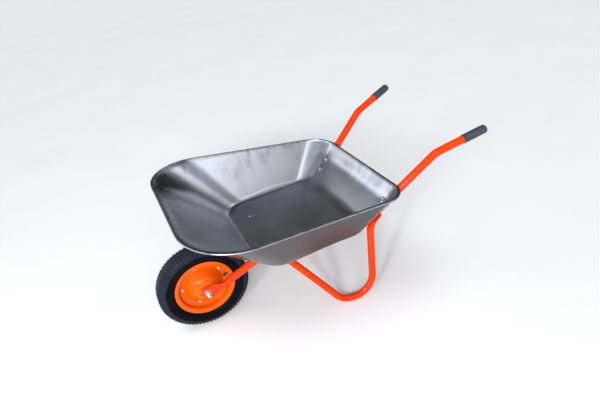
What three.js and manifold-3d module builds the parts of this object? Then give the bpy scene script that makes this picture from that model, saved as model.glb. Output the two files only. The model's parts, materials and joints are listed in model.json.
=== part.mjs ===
// A single-wheel wheelbarrow: pressed steel tray, two bent main tubes that carry the wheel at one end and the
// grips at the other, two bent legs, and a pneumatic wheel on a split rim with two ball bearings.
// Millimetres. +X points forward, to the wheel, +Y to the left and +Z up. While it is built, the origin is on
// the ground under the axle; the last lines move it to the middle of the footprint.

import * as THREE from 'three';
import { mergeVertices } from 'three/addons/utils/BufferGeometryUtils.js';
import Module from 'manifold-3d';

const wasm = await Module();
wasm.setup();

// ---------------------------------------------------------------- driving dimensions

const GAP = 0.3; // clearance between pieces that touch

// Wheel
const TYRE_R = 178;
const TYRE_WIDTH = 78;
const TYRE_WALL = 6;
const WHEEL_SIDES = 28;
const BEAD_SEAT_R = 101.6; // outside of the rim where the tyre's bead sits
const FLANGE_HEIGHT = 16.6; // how far the rim's flange stands above the bead seat
const FLANGE_HALF_WIDTH = 30;
const RIM_SHEET = 1.5;
const RIM_BOLT_CIRCLE_R = 84;
const RIM_BOLT_COUNT = 5;
const RIM_BOLT_START_DEG = 5.5;
const RIM_BOLT_D = 6;
const TUBE_RUBBER = 2.4; // wall of the inner tube
const VALVE_DEG = 172;
const VALVE_OFFSET = 12; // from the wheel's middle plane to the valve
const VALVE_D = 10.5;
const VALVE_LENGTH = 22; // from the bead seat towards the axle
const HUB_HALF_WIDTH = 48;
const BEARING_D = 28;
const BEARING_WIDTH = 8;
const RACE_WALL = 2.4;
const AXLE_D = 12;
const AXLE_WASHER_THICK = 2.5;
const AXLE_BEYOND_NUT = 18;

// Tray
const SHEET = 1.2;
const FLOOR_Z = 314; // top of the tray's floor
const FLOOR_BEHIND_TYRE = 16; // from the back of the tyre to the floor's front fold, along X
const FLOOR_LENGTH = 399;
const FLOOR_HALF_WIDTH = 249;
const FLOOR_CORNER_FRONT = 95;
const FLOOR_CORNER_REAR = 52;
const FRONT_WALL_RUN = 240;
const FRONT_WALL_RISE = 235;
const REAR_WALL_LENGTH = 195;
const RIM_HALF_WIDTH_FRONT = 384;
const RIM_HALF_WIDTH_REAR = 309;
const RIM_CORNER_FRONT = 180;
const RIM_CORNER_REAR = 94;
const FOLD_R = 30; // between the floor and the front and side walls
const REAR_FOLD_R = 95;
const LIP_WIDTH = 12;
const LIP_HEIGHT = 10;
const LIP_CLEARANCE = 0.7; // between the lip and the tubes that pass under it

// Frame
const TUBE_D = 30;
const TUBE_WALL = 1.5;
const LUG_AHEAD = 22; // the flattened end, ahead of the axle
const LUG_BEHIND = 52;
const TUBE_SIDES = 10;
const FLAT_TO_ROUND = 2.35; // length over which the lug turns round, in tube diameters
const TIP_WIDTH = 0.55; // of a flattened end's tip, as a share of the flat's width
const LUG_Y = 57;
const TUBE_LINE_Y = 70.5; // of the main tubes' straight line, abreast of the fork's lower bend
const FORK_DEG = 31.6;
const FORK_BEND_R = 50;
const SPLAY = 0.229; // sideways spread of each main tube per unit of length along X
const RISE_DEG = 39.1; // the main tube behind the tray
const RISE_RUN = 298;
const HANDLE_DEG = 15.9;
const HANDLE_RUN = 180;
const HANDLE_BEND_R = 70;
const GRIP_LENGTH = 81; // round its open end to the centre of its round end
const GRIP_WALL = 1.7;
const GRIP_COLLAR = 0.8; // how far the ring at its open end stands out

// Legs
const LEG_D = 28;
const LEG_WALL = 1.5;
const FOOT_LENGTH = 124; // between the two lower bends' corners
const FOOT_SIDE = 226.3; // from the middle plane to the foot's front bend
const FOOT_AHEAD_OF_BOLT = 60; // the foot's rear bend, ahead of the lower rear bolt
const FOOT_FRONT_BEND_R = 62;
const FOOT_REAR_BEND_R = 95;
const LEG_FRONT_RUN = 23; // from the floor bolt to the leg's front bend
const LEG_FRONT_BEND_R = 24;
const LEG_REAR_RUN = 54; // from the lower rear bolt to the leg's upper bend
const LEG_REAR_BEND_R = 45;
const PLATE_REACH = 12; // flattened end beyond the centre of its bolt
const LEG_FLAT_TO_ROUND = 1.35; // in leg diameters

// Fasteners
const BOLT_D = 8;
const BOLT_HEAD_D = 16;
const BOLT_HEAD_HEIGHT = 4.4;
const WASHER_THICK = 1.6;
const BOLT_HOLE_CLEARANCE = 0.5; // on the diameter
const THREAD_BEYOND_NUT = 5;
const FLOOR_BOLT_SETBACK = 76; // behind the floor's front fold
const LOWER_BOLT_ALONG = 74; // from the tray's rear fold up the wall
const REAR_BOLT_SPACING = 50;

// ---------------------------------------------------------------- derived places

const AXLE_Z = TYRE_R;
const TUBE_R = TUBE_D / 2;
const LEG_R = LEG_D / 2;
const FLOOR_FRONT_X = -(TYRE_R + FLOOR_BEHIND_TYRE);
const FLOOR_REAR_X = FLOOR_FRONT_X - FLOOR_LENGTH;
const rad = THREE.MathUtils.degToRad;
const v2 = (x, y) => new THREE.Vector2(x, y);
const v3 = (x, y, z) => new THREE.Vector3(x, y, z);

// The rear wall runs up along the main tubes, then leans in a little, so that its lip clears them.
const ALONG_WALL = v3(-Math.cos(rad(RISE_DEG)), 0, Math.sin(rad(RISE_DEG)));
const WALL_NORMAL = v3(Math.sin(rad(RISE_DEG)), 0, Math.cos(rad(RISE_DEG)));
const LIP_KICK = LIP_WIDTH * WALL_NORMAL.x + LIP_HEIGHT * WALL_NORMAL.z - SHEET + LIP_CLEARANCE;
const REAR_FOLD = v3(FLOOR_REAR_X, 0, FLOOR_Z);
const RIM_REAR = REAR_FOLD.clone()
  .addScaledVector(ALONG_WALL, REAR_WALL_LENGTH)
  .addScaledVector(WALL_NORMAL, LIP_KICK);
const RIM_FRONT = v3(FLOOR_FRONT_X + FRONT_WALL_RUN, 0, FLOOR_Z + FRONT_WALL_RISE);
const rimZ = (x) => THREE.MathUtils.mapLinear(x, RIM_REAR.x, RIM_FRONT.x, RIM_REAR.z, RIM_FRONT.z);

// Main tube: level under the floor, and a tube radius outside the rear wall.
const TUBE_Z = FLOOR_Z - SHEET - GAP - TUBE_R;
const tubeY = (x) => TUBE_LINE_Y - SPLAY * (x + LUG_BEHIND);
const onTube = (x, z) => v3(x, tubeY(x), z);
const FORK_TOP_X = -LUG_BEHIND - (TUBE_Z - AXLE_Z) / Math.tan(rad(FORK_DEG));
const TUBE_OFFSET = FLOOR_Z - TUBE_Z;
const RISE_X = FLOOR_REAR_X - TUBE_OFFSET * Math.tan(rad(RISE_DEG) / 2);
const HANDLE_X = RISE_X - RISE_RUN;
const HANDLE_Z = TUBE_Z + RISE_RUN * Math.tan(rad(RISE_DEG));
const GRIP_END_X = HANDLE_X - HANDLE_RUN;
const GRIP_END_Z = HANDLE_Z + HANDLE_RUN * Math.tan(rad(HANDLE_DEG));

// Bolts through the tray: a place on the tray's inside and the direction out of it.
const PLATE_THICK = 2 * LEG_WALL + GAP;
const wallBoltAt = (along) => {
  const p = REAR_FOLD.clone().addScaledVector(ALONG_WALL, along);
  return { seat: v3(p.x, tubeY(p.x - WALL_NORMAL.x * TUBE_OFFSET), p.z), axis: WALL_NORMAL.clone() };
};
const FLOOR_BOLT_X = FLOOR_FRONT_X - FLOOR_BOLT_SETBACK;
const TRAY_BOLTS = [
  { name: 'floor', seat: v3(FLOOR_BOLT_X, tubeY(FLOOR_BOLT_X), FLOOR_Z), axis: v3(0, 0, 1), holdsLeg: true },
  { name: 'rear_lower', ...wallBoltAt(LOWER_BOLT_ALONG), holdsLeg: true },
  { name: 'rear_upper', ...wallBoltAt(LOWER_BOLT_ALONG + REAR_BOLT_SPACING), holdsLeg: false },
];

// ---------------------------------------------------------------- materials

const material = (color, roughness, metalness) => () =>
  new THREE.MeshStandardMaterial({ color, roughness, metalness });
const galvanised = material(0x9a9fa6, 0.42, 0.9);
const framePaint = material(0xe8430a, 0.25, 0.1);
const rimPaint = material(0xe85a0a, 0.25, 0.1);
const zinc = material(0xc4c8cc, 0.35, 1);
const gripRubber = material(0x2f3040, 0.6, 0);
const tyreRubber = material(0x1c1c20, 0.75, 0);
const bearingSteel = material(0x8d9094, 0.3, 1);

// ---------------------------------------------------------------- solids and meshes

const group = new THREE.Group();

function add(name, geometry, makeMaterial) {
  const mesh = new THREE.Mesh(geometry, makeMaterial());
  mesh.name = name;
  group.add(mesh);
  return mesh;
}

// Both sides carry the same piece: the left one as built, and its mirror image on the right.
function addPair(name, geometry, makeMaterial) {
  add(`${name}_left`, geometry, makeMaterial);
  add(`${name}_right`, mirrored(geometry), makeMaterial);
}

function welded(geometry) {
  const g = geometry.clone();
  g.deleteAttribute('normal');
  g.deleteAttribute('uv');
  return mergeVertices(g, 1e-4);
}

function mirrored(geometry) {
  const g = welded(geometry).scale(1, -1, 1);
  const index = Array.from(g.index.array);
  for (let i = 0; i < index.length; i += 3) [index[i], index[i + 1]] = [index[i + 1], index[i]];
  g.setIndex(index);
  g.computeVertexNormals();
  return g;
}

function toSolid(geometry) {
  const g = welded(geometry);
  return new wasm.Manifold(new wasm.Mesh({
    numProp: 3,
    vertProperties: new Float32Array(g.attributes.position.array),
    triVerts: new Uint32Array(g.index.array),
  }));
}

function toGeometry(solid) {
  const mesh = solid.getMesh();
  const g = new THREE.BufferGeometry();
  g.setAttribute('position', new THREE.BufferAttribute(new Float32Array(mesh.vertProperties), 3));
  g.setIndex(Array.from(mesh.triVerts));
  g.computeVertexNormals();
  return g;
}

const cut = (geometry, ...tools) =>
  toGeometry(tools.reduce((solid, tool) => solid.subtract(toSolid(tool)), toSolid(geometry)));
const join = (first, ...others) =>
  toGeometry(others.reduce((solid, piece) => solid.add(toSolid(piece)), toSolid(first)));

// Turns a piece built along +Y round its origin so that +Y lies on the axis, and moves it to a place.
function along(geometry, place, axis) {
  const turn = new THREE.Quaternion().setFromUnitVectors(v3(0, 1, 0), axis.clone().normalize());
  return geometry.clone().applyQuaternion(turn).translate(place.x, place.y, place.z);
}

const rod = (diameter, from, to, sides = 16) => {
  const length = from.distanceTo(to);
  const cylinder = new THREE.CylinderGeometry(diameter / 2, diameter / 2, length, sides);
  return along(cylinder, from.clone().lerp(to, 0.5), to.clone().sub(from));
};

// A cutter for a hole: its flat sides touch the stated diameter, so that a round piece of it goes through.
const bore = (diameter, from, to, sides = 8) => rod(diameter / Math.cos(Math.PI / sides), from, to, sides);

// A ring or other turned piece round the wheel's axle, from its closed outline of (radius, y) points.
const turned = (outline, segments) => {
  const points = THREE.ShapeUtils.area(outline) < 0 ? [...outline].reverse() : outline;
  return new THREE.LatheGeometry([...points, points[0]], segments).translate(0, 0, AXLE_Z);
};

const ring = (innerR, outerR, y0, y1, segments = 12) =>
  turned([v2(innerR, y0), v2(outerR, y0), v2(outerR, y1), v2(innerR, y1)], segments);

// ---------------------------------------------------------------- bent tubes

// Stations along straight runs joined by round bends: corners are {p, r, steps}.
function bentPath(corners) {
  const stations = [];
  corners.forEach(({ p, r, steps }, i) => {
    const before = corners[i - 1]?.p;
    const after = corners[i + 1]?.p;
    if (!before || !after || !r) {
      const dir = (after ?? p).clone().sub(before && after ? before : before ?? p).normalize();
      stations.push({ p: p.clone(), t: dir });
      return;
    }
    const a = p.clone().sub(before).normalize();
    const b = after.clone().sub(p).normalize();
    const half = a.angleTo(b) / 2;
    const tangent = r * Math.tan(half);
    const start = p.clone().addScaledVector(a, -tangent);
    const inward = b.clone().sub(a).normalize();
    const centre = p.clone().addScaledVector(inward, r / Math.cos(half));
    const axis = a.clone().cross(b).normalize();
    for (let k = 0; k <= steps; k++) {
      const turn = (2 * half * k) / steps;
      stations.push({
        p: start.clone().sub(centre).applyAxisAngle(axis, turn).add(centre),
        t: a.clone().applyAxisAngle(axis, turn),
      });
    }
  });
  return stations;
}

// Adds stations every `step` within the given length of one end, where the tube changes from round to flat.
function refineEnd(stations, reach, step) {
  const out = [stations[0]];
  let travelled = 0;
  for (let i = 1; i < stations.length; i++) {
    const a = out[out.length - 1];
    const b = stations[i];
    const length = a.p.distanceTo(b.p);
    const count = travelled < reach ? Math.ceil(Math.min(length, reach - travelled) / step) : 0;
    for (let k = 1; k <= count; k++) {
      const share = (k * step) / length;
      const between = { p: a.p.clone().lerp(b.p, share), t: a.t.clone().lerp(b.t, share) };
      if (k * step < length - step / 2) out.push(between);
    }
    out.push(b);
    travelled += length;
  }
  return out;
}

// A round tube flattened at its ends. plate(s, total) says, at a distance s along it, how flat it is, from 0
// to 1, the direction `thin` across the flat, and `trim`, which narrows the tip. raise lifts the flat along
// thin.
function sweptTube({ stations, radius, wall, bendNormal, plate, raise = 0 }) {
  const first = Math.PI / TUBE_SIDES;
  const circle = (r, shape) => shape.absarc(0, 0, r, first, first + Math.PI * 2, false);
  const shape = circle(radius, new THREE.Shape());
  shape.holes.push(circle(radius - wall, new THREE.Path()));
  const layers = stations.length - 1;
  const options = { depth: layers, steps: layers, bevelEnabled: false, curveSegments: TUBE_SIDES / 2 };
  const g = new THREE.ExtrudeGeometry(shape, options);
  let s = 0;
  const frames = stations.map((station, i) => {
    if (i > 0) s += station.p.distanceTo(stations[i - 1].p);
    return { ...station, s };
  });
  frames.forEach((f) => {
    const { flat, thin, trim } = plate(f.s, s);
    const across = (thin ?? bendNormal.clone().cross(f.t)).clone();
    across.addScaledVector(f.t, -across.dot(f.t)).normalize();
    Object.assign(f, { flat, trim, across, wide: across.clone().cross(f.t).normalize() });
  });
  const plateHalf = (Math.PI * radius) / 2 - wall;
  const slotHalf = GAP / 2;
  const position = g.attributes.position;
  for (let i = 0; i < position.count; i++) {
    const u = position.getX(i);
    const w = position.getY(i);
    const f = frames[Math.round(position.getZ(i))];
    const r = Math.hypot(u, w);
    const outer = r > radius - wall / 2;
    const inset = outer ? 0 : wall;
    const flatU = (u / r) * (plateHalf * f.trim - inset);
    const flatW = raise + THREE.MathUtils.clamp((2 * w) / r, -1, 1) * (outer ? wall + slotHalf : slotHalf);
    const point = f.p.clone();
    point.addScaledVector(f.wide, THREE.MathUtils.lerp(u, flatU, f.flat));
    point.addScaledVector(f.across, THREE.MathUtils.lerp(w, flatW, f.flat));
    position.setXYZ(i, point.x, point.y, point.z);
  }
  return g;
}

const smooth = (x, from, to) => THREE.MathUtils.smoothstep(x, Math.min(from, to), Math.max(from, to));

function frameTube() {
  const tip = v3(LUG_AHEAD, LUG_Y, AXLE_Z);
  const path = bentPath([
    { p: tip },
    { p: v3(-LUG_BEHIND, LUG_Y, AXLE_Z), r: FORK_BEND_R, steps: 3 },
    { p: onTube(FORK_TOP_X, TUBE_Z), r: FORK_BEND_R, steps: 3 },
    { p: onTube(RISE_X, TUBE_Z), r: REAR_FOLD_R, steps: 4 },
    { p: onTube(HANDLE_X, HANDLE_Z), r: HANDLE_BEND_R, steps: 3 },
    { p: onTube(GRIP_END_X, GRIP_END_Z) },
  ]);
  const flatUntil = LUG_AHEAD + TUBE_D;
  const turnsRound = FLAT_TO_ROUND * TUBE_D;
  const stations = refineEnd(path, flatUntil + turnsRound, turnsRound / 4);
  const tube = sweptTube({
    stations,
    radius: TUBE_R,
    wall: TUBE_WALL,
    bendNormal: v3(SPLAY, 1, 0).normalize(),
    plate: (s) => {
      const flat = 1 - smooth(s, flatUntil, flatUntil + turnsRound);
      return { flat, thin: v3(0, 1, 0), trim: s === 0 ? TIP_WIDTH : 1 };
    },
  });
  return cut(tube, ...TRAY_BOLTS.map(boltHole), axleHole());
}

// ---------------------------------------------------------------- legs

// Each leg is bent in one plane, through its two bolts and its foot.
function legPlane(front, foot, rear) {
  const normal = foot.clone().sub(front).cross(rear.clone().sub(front)).normalize();
  const y = (x, z) => front.y - (normal.x * (x - front.x) + normal.z * (z - front.z)) / normal.y;
  return { normal, at: (x, z) => v3(x, y(x, z), z) };
}

function leg() {
  const [floorBolt, lowerBolt] = TRAY_BOLTS;
  const drop = TUBE_OFFSET + TUBE_R + GAP + LEG_R;
  const frontPlate = floorBolt.seat.clone().addScaledVector(floorBolt.axis, -drop);
  const rearPlate = lowerBolt.seat.clone().addScaledVector(lowerBolt.axis, -drop);
  const footRearX = lowerBolt.seat.x - WALL_NORMAL.x * TUBE_OFFSET + FOOT_AHEAD_OF_BOLT;
  const foot = v3(footRearX + FOOT_LENGTH, FOOT_SIDE, LEG_R);
  const plane = legPlane(frontPlate, foot, rearPlate);
  const alongPlate = (p, reach) => plane.at(p.x - ALONG_WALL.x * reach, p.z - ALONG_WALL.z * reach);
  const path = bentPath([
    { p: plane.at(frontPlate.x + PLATE_REACH, frontPlate.z) },
    { p: plane.at(frontPlate.x - LEG_FRONT_RUN, frontPlate.z), r: LEG_FRONT_BEND_R, steps: 3 },
    { p: foot, r: FOOT_FRONT_BEND_R, steps: 4 },
    { p: plane.at(footRearX, LEG_R), r: FOOT_REAR_BEND_R, steps: 6 },
    { p: alongPlate(rearPlate, LEG_REAR_RUN), r: LEG_REAR_BEND_R, steps: 3 },
    { p: alongPlate(rearPlate, -PLATE_REACH) },
  ]);
  const flatEnd = 2 * PLATE_REACH;
  const turnsRound = LEG_FLAT_TO_ROUND * LEG_D;
  const fromFront = refineEnd(path, flatEnd + turnsRound, turnsRound / 3);
  const stations = refineEnd(fromFront.reverse(), flatEnd + turnsRound, turnsRound / 3).reverse();
  const tube = sweptTube({
    stations,
    radius: LEG_R,
    wall: LEG_WALL,
    bendNormal: plane.normal,
    raise: LEG_R - PLATE_THICK / 2,
    plate: (s, total) => {
      const toEnd = Math.min(s, total - s);
      const flat = 1 - smooth(toEnd, flatEnd, flatEnd + turnsRound);
      const bolt = s < total / 2 ? floorBolt.axis : lowerBolt.axis;
      return { flat, thin: flat > 0 ? bolt : undefined, trim: toEnd < 1 ? TIP_WIDTH : 1 };
    },
  });
  return cut(tube, ...[floorBolt, lowerBolt].map(boltHole));
}

// ---------------------------------------------------------------- grips

function grip() {
  const end = onTube(GRIP_END_X, GRIP_END_Z);
  const back = onTube(HANDLE_X, HANDLE_Z).sub(end).normalize();
  const sides = 14;
  const boreR = (TUBE_R + GAP) / Math.cos(Math.PI / sides);
  const outerR = TUBE_R + GAP + GRIP_WALL;
  const collarR = outerR + GRIP_COLLAR;
  const collarEnd = 4 - GRIP_LENGTH;
  const outline = [v2(0, GAP), v2(boreR, GAP), v2(boreR, -GRIP_LENGTH)];
  outline.push(v2(collarR, -GRIP_LENGTH), v2(collarR, collarEnd), v2(outerR, collarEnd + 1));
  const domeSteps = 5;
  const domeHeight = outerR * 0.8;
  for (let k = 0; k <= domeSteps; k++) {
    const a = (k / domeSteps) * (Math.PI / 2);
    outline.push(v2(outerR * Math.cos(a), GAP + domeHeight * Math.sin(a)));
  }
  return along(new THREE.LatheGeometry(outline, sides), end, back.negate());
}

// ---------------------------------------------------------------- tray

// A closed outline of straight edges and round corners, with the same number of points whatever its size.
function roundedOutline(corners, arcSteps, edgeSteps) {
  const points = [];
  const count = corners.length;
  const arcs = corners.map(({ p, r }, i) => {
    const a = p.clone().sub(corners[(i + count - 1) % count].p).normalize();
    const b = corners[(i + 1) % count].p.clone().sub(p).normalize();
    const half = Math.acos(THREE.MathUtils.clamp(a.dot(b), -1, 1)) / 2;
    const turn = Math.sign(a.cross(b)) * half * 2;
    const start = p.clone().addScaledVector(a, -r * Math.tan(half));
    const centre = start.clone().add(v2(-a.y, a.x).multiplyScalar(Math.sign(turn) * r));
    const at = (k) => start.clone().rotateAround(centre, (turn * k) / arcSteps);
    return Array.from({ length: arcSteps + 1 }, (_, k) => at(k));
  });
  arcs.forEach((arc, i) => {
    const next = arcs[(i + 1) % count][0];
    const last = arc[arc.length - 1];
    points.push(...arc);
    for (let k = 1; k < edgeSteps[i]; k++) points.push(last.clone().lerp(next, k / edgeSteps[i]));
  });
  return points;
}

function trayOutline(frontX, rearX, frontHalf, rearHalf, frontCorner, rearCorner) {
  const corners = [
    { p: v2(frontX, frontHalf), r: frontCorner },
    { p: v2(rearX, rearHalf), r: rearCorner },
    { p: v2(rearX, -rearHalf), r: rearCorner },
    { p: v2(frontX, -frontHalf), r: frontCorner },
  ];
  return roundedOutline(corners, 6, [3, 3, 3, 2]);
}

// How much a point of the outline belongs to the rear wall, from 0 to 1.
function rearShare(outward) {
  return smooth(-outward.x, 0.55, 0.98);
}

// One strip of the tray's inside, from the floor's edge up the wall and over the lip. At the rear the wall is
// straight past the upper bolts, then bends round a knee and leans in to the lip.
function trayProfile(floorPoint, rimPoint, outward) {
  const foot = v3(floorPoint.x, floorPoint.y, FLOOR_Z);
  const top = v3(rimPoint.x, rimPoint.y, rimZ(rimPoint.x));
  const level = v3(top.x - foot.x, top.y - foot.y, 0).normalize();
  const rear = rearShare(outward);
  const wallLength = foot.distanceTo(top);
  const chord = top.clone().sub(foot).normalize();
  const outOfWall = level.clone().multiplyScalar(chord.z).setZ(-Math.hypot(chord.x, chord.y));
  const straight = LOWER_BOLT_ALONG + REAR_BOLT_SPACING + BOLT_HEAD_D;
  const kneeSag = LIP_KICK * (straight / wallLength) * rear;
  const knee = foot.clone().addScaledVector(chord, straight).addScaledVector(outOfWall, kneeSag);
  const up = knee.clone().sub(foot).normalize();
  const foldR = THREE.MathUtils.lerp(FOLD_R, REAR_FOLD_R, rear);
  const foldAngle = Math.acos(THREE.MathUtils.clamp(up.dot(level), -1, 1));
  const reach = foldR * Math.tan(foldAngle / 2);
  const centre = foot.clone().addScaledVector(level, -reach).add(v3(0, 0, foldR));
  const points = [];
  const foldSteps = 3;
  for (let k = 0; k <= foldSteps; k++) {
    const a = (foldAngle * k) / foldSteps;
    const drop = v3(0, 0, -foldR * Math.cos(a));
    points.push(centre.clone().addScaledVector(level, foldR * Math.sin(a)).add(drop));
  }
  const midWall = foot.clone().lerp(knee, 0.55);
  const bendStart = knee.clone().lerp(foot, 0.12);
  const bendEnd = knee.clone().lerp(top, 0.3);
  points.push(midWall, bendStart, bendEnd);
  const out = v3(outward.x, outward.y, 0);
  const bend = 2; // the lip's corners, cut across
  const crown = 1.5; // the lip's top, above the wall's end
  const lip = [
    [0, 0], [bend, crown], [LIP_WIDTH - bend, crown], [LIP_WIDTH, crown - bend], [LIP_WIDTH, -LIP_HEIGHT],
  ];
  lip.forEach(([x, z]) => points.push(top.clone().addScaledVector(out, x).add(v3(0, 0, z))));
  return points;
}

function outlineNormals(points) {
  return points.map((_, i) => {
    const before = points[(i + points.length - 1) % points.length];
    const after = points[(i + 1) % points.length];
    const edge = after.clone().sub(before).normalize();
    return v2(-edge.y, edge.x);
  });
}

// A sheet of even thickness: the inside as strips round a level floor, the outside offset from it.
function sheetFromStrips(strips, thickness) {
  const rows = strips[0].length;
  const count = strips.length;
  const inside = [];
  strips.forEach((strip) => strip.forEach((p) => inside.push(p.x, p.y, p.z)));
  const middle = strips.reduce((sum, strip) => sum.add(strip[0]), v3(0, 0, 0)).divideScalar(count);
  inside.push(middle.x, middle.y, middle.z);
  const faces = [];
  for (let i = 0; i < count; i++) {
    const j = (i + 1) % count;
    faces.push(count * rows, i * rows, j * rows);
    for (let k = 0; k < rows - 1; k++) {
      const a = i * rows + k;
      const b = j * rows + k;
      faces.push(a, a + 1, b + 1, a, b + 1, b);
    }
  }
  const skin = new THREE.BufferGeometry();
  skin.setAttribute('position', new THREE.Float32BufferAttribute(inside, 3));
  skin.setIndex(faces);
  skin.computeVertexNormals();
  const { position, normal } = skin.attributes;
  const total = position.count;
  const outside = [];
  for (let i = 0; i < total; i++) {
    outside.push(position.getX(i) - normal.getX(i) * thickness);
    outside.push(position.getY(i) - normal.getY(i) * thickness);
    outside.push(position.getZ(i) - normal.getZ(i) * thickness);
  }
  const index = [...faces];
  for (let f = 0; f < faces.length; f += 3) {
    index.push(faces[f] + total, faces[f + 2] + total, faces[f + 1] + total);
  }
  for (let i = 0; i < count; i++) {
    const a = i * rows + rows - 1;
    const b = ((i + 1) % count) * rows + rows - 1;
    index.push(a, a + total, b + total, a, b + total, b);
  }
  const sheet = new THREE.BufferGeometry();
  sheet.setAttribute('position', new THREE.Float32BufferAttribute([...inside, ...outside], 3));
  sheet.setIndex(index);
  sheet.computeVertexNormals();
  return sheet;
}

function tray() {
  const floor = trayOutline(
    FLOOR_FRONT_X, FLOOR_REAR_X, FLOOR_HALF_WIDTH, FLOOR_HALF_WIDTH, FLOOR_CORNER_FRONT, FLOOR_CORNER_REAR);
  const rim = trayOutline(
    RIM_FRONT.x, RIM_REAR.x, RIM_HALF_WIDTH_FRONT, RIM_HALF_WIDTH_REAR, RIM_CORNER_FRONT, RIM_CORNER_REAR);
  const normals = outlineNormals(rim).map((n) => n.negate());
  const strips = rim.map((rimPoint, i) => trayProfile(floor[i], rimPoint, normals[i]));
  const sheet = sheetFromStrips(strips, SHEET);
  const bothSides = TRAY_BOLTS.flatMap((bolt) => [bolt, acrossMiddle(bolt)]);
  return cut(sheet, ...bothSides.map(boltHole), ...bothSides.map(headSeat));
}

// ---------------------------------------------------------------- tray fasteners

const acrossMiddle = (bolt) => ({ ...bolt, seat: v3(bolt.seat.x, -bolt.seat.y, bolt.seat.z) });

// How far below the tray's inside a bolt's washer starts.
const washerDepth = (bolt) => TUBE_OFFSET + TUBE_R + GAP + (bolt.holdsLeg ? PLATE_THICK + GAP : 0);
const nutHeight = BOLT_D * 0.8;

function boltHole(bolt) {
  const from = bolt.seat.clone().addScaledVector(bolt.axis, TUBE_D);
  const to = bolt.seat.clone().addScaledVector(bolt.axis, -2 * TUBE_D - PLATE_THICK);
  return bore(BOLT_D + BOLT_HOLE_CLEARANCE, from, to);
}

// Room for the head where the wall starts to curve round a corner.
function headSeat(bolt) {
  return bore(BOLT_HEAD_D + 2, bolt.seat, bolt.seat.clone().addScaledVector(bolt.axis, TUBE_D), 12);
}

function trayBolt(bolt) {
  const shank = BOLT_D / 2;
  const head = BOLT_HEAD_D / 2;
  const top = BOLT_HEAD_HEIGHT;
  const end = -(washerDepth(bolt) + WASHER_THICK + 2 * GAP + nutHeight + THREAD_BEYOND_NUT);
  const chamfer = shank / 5;
  const outline = [v2(0, end), v2(shank - chamfer, end), v2(shank, end + chamfer), v2(shank, GAP)];
  outline.push(v2(head, GAP), v2(head, 1), v2(head * 0.78, top * 0.72), v2(head * 0.4, top), v2(0, top));
  return along(new THREE.LatheGeometry(outline, 10), bolt.seat, bolt.axis);
}

// A flat shape given a thickness along +Y. Its round holes have the stated number of sides.
function upright(shape, thickness, sides) {
  const options = { depth: thickness, bevelEnabled: false, curveSegments: sides / 2 };
  return new THREE.ExtrudeGeometry(shape, options).rotateX(-Math.PI / 2);
}

function flatRing(innerR, outerR, thickness, sides) {
  const shape = new THREE.Shape().absarc(0, 0, outerR, 0, Math.PI * 2, false);
  shape.holes.push(new THREE.Path().absarc(0, 0, innerR, 0, Math.PI * 2, false));
  return upright(shape, thickness, sides);
}

function hexNut(boltD, height) {
  const cornerR = boltD * 0.94;
  const corner = (k) => v2(cornerR, 0).rotateAround(v2(0, 0), (k * Math.PI) / 3);
  const shape = new THREE.Shape(Array.from({ length: 6 }, (_, k) => corner(k)));
  shape.holes.push(new THREE.Path().absarc(0, 0, (boltD + BOLT_HOLE_CLEARANCE) / 2, 0, Math.PI * 2, false));
  return upright(shape, height, 12);
}

function addTrayFasteners() {
  TRAY_BOLTS.forEach((bolt) => {
    const washerAt = bolt.seat.clone().addScaledVector(bolt.axis, -washerDepth(bolt) - WASHER_THICK);
    const nutAt = washerAt.clone().addScaledVector(bolt.axis, -GAP - nutHeight);
    const washer = flatRing((BOLT_D + BOLT_HOLE_CLEARANCE) / 2, BOLT_D, WASHER_THICK, 12);
    addPair(`${bolt.name}_bolt`, trayBolt(bolt), zinc);
    addPair(`${bolt.name}_washer`, along(washer, washerAt, bolt.axis), zinc);
    addPair(`${bolt.name}_nut`, along(hexNut(BOLT_D, nutHeight), nutAt, bolt.axis), zinc);
  });
}

// ---------------------------------------------------------------- wheel

const HALF_SHEET = RIM_SHEET / 2;
const CUP_R = BEARING_D / 2 + GAP + HALF_SHEET;

// The middle line of one rim half's sheet: bearing cup, dome, bolted ring, bead seat and flange.
function rimLine() {
  const ringY = GAP / 2 + HALF_SHEET;
  const seat = BEAD_SEAT_R - HALF_SHEET;
  const flange = BEAD_SEAT_R + FLANGE_HEIGHT;
  return [
    v2(CUP_R, HUB_HALF_WIDTH - BEARING_WIDTH),
    v2(CUP_R, HUB_HALF_WIDTH - 1.5),
    v2(CUP_R + 5, HUB_HALF_WIDTH - 0.5),
    v2(RIM_BOLT_CIRCLE_R * 0.42, HUB_HALF_WIDTH * 0.91),
    v2(RIM_BOLT_CIRCLE_R * 0.6, HUB_HALF_WIDTH * 0.69),
    v2(RIM_BOLT_CIRCLE_R * 0.76, HUB_HALF_WIDTH * 0.37),
    v2(RIM_BOLT_CIRCLE_R - 7, ringY),
    v2(RIM_BOLT_CIRCLE_R + 7, ringY),
    v2(seat - 3, ringY + 3.5),
    v2(seat, ringY + 9),
    v2(seat, FLANGE_HALF_WIDTH - 7),
    v2(seat + 3.2, FLANGE_HALF_WIDTH - 2.6),
    v2(flange, FLANGE_HALF_WIDTH),
  ];
}

// The closed outline of a bent strip of sheet, from its middle line.
function strip(line, thickness) {
  const offset = (side) => line.map((p, i) => {
    const a = line[Math.max(i - 1, 0)];
    const b = line[Math.min(i + 1, line.length - 1)];
    const d = b.clone().sub(a).normalize();
    return p.clone().add(v2(d.y, -d.x).multiplyScalar(side * thickness / 2));
  });
  return [...offset(1), ...offset(-1).reverse()];
}

const rimBoltPlaces = () => Array.from({ length: RIM_BOLT_COUNT }, (_, k) => {
  const a = rad(RIM_BOLT_START_DEG + (360 * k) / RIM_BOLT_COUNT);
  return v3(RIM_BOLT_CIRCLE_R * Math.cos(a), 0, AXLE_Z + RIM_BOLT_CIRCLE_R * Math.sin(a));
});

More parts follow.
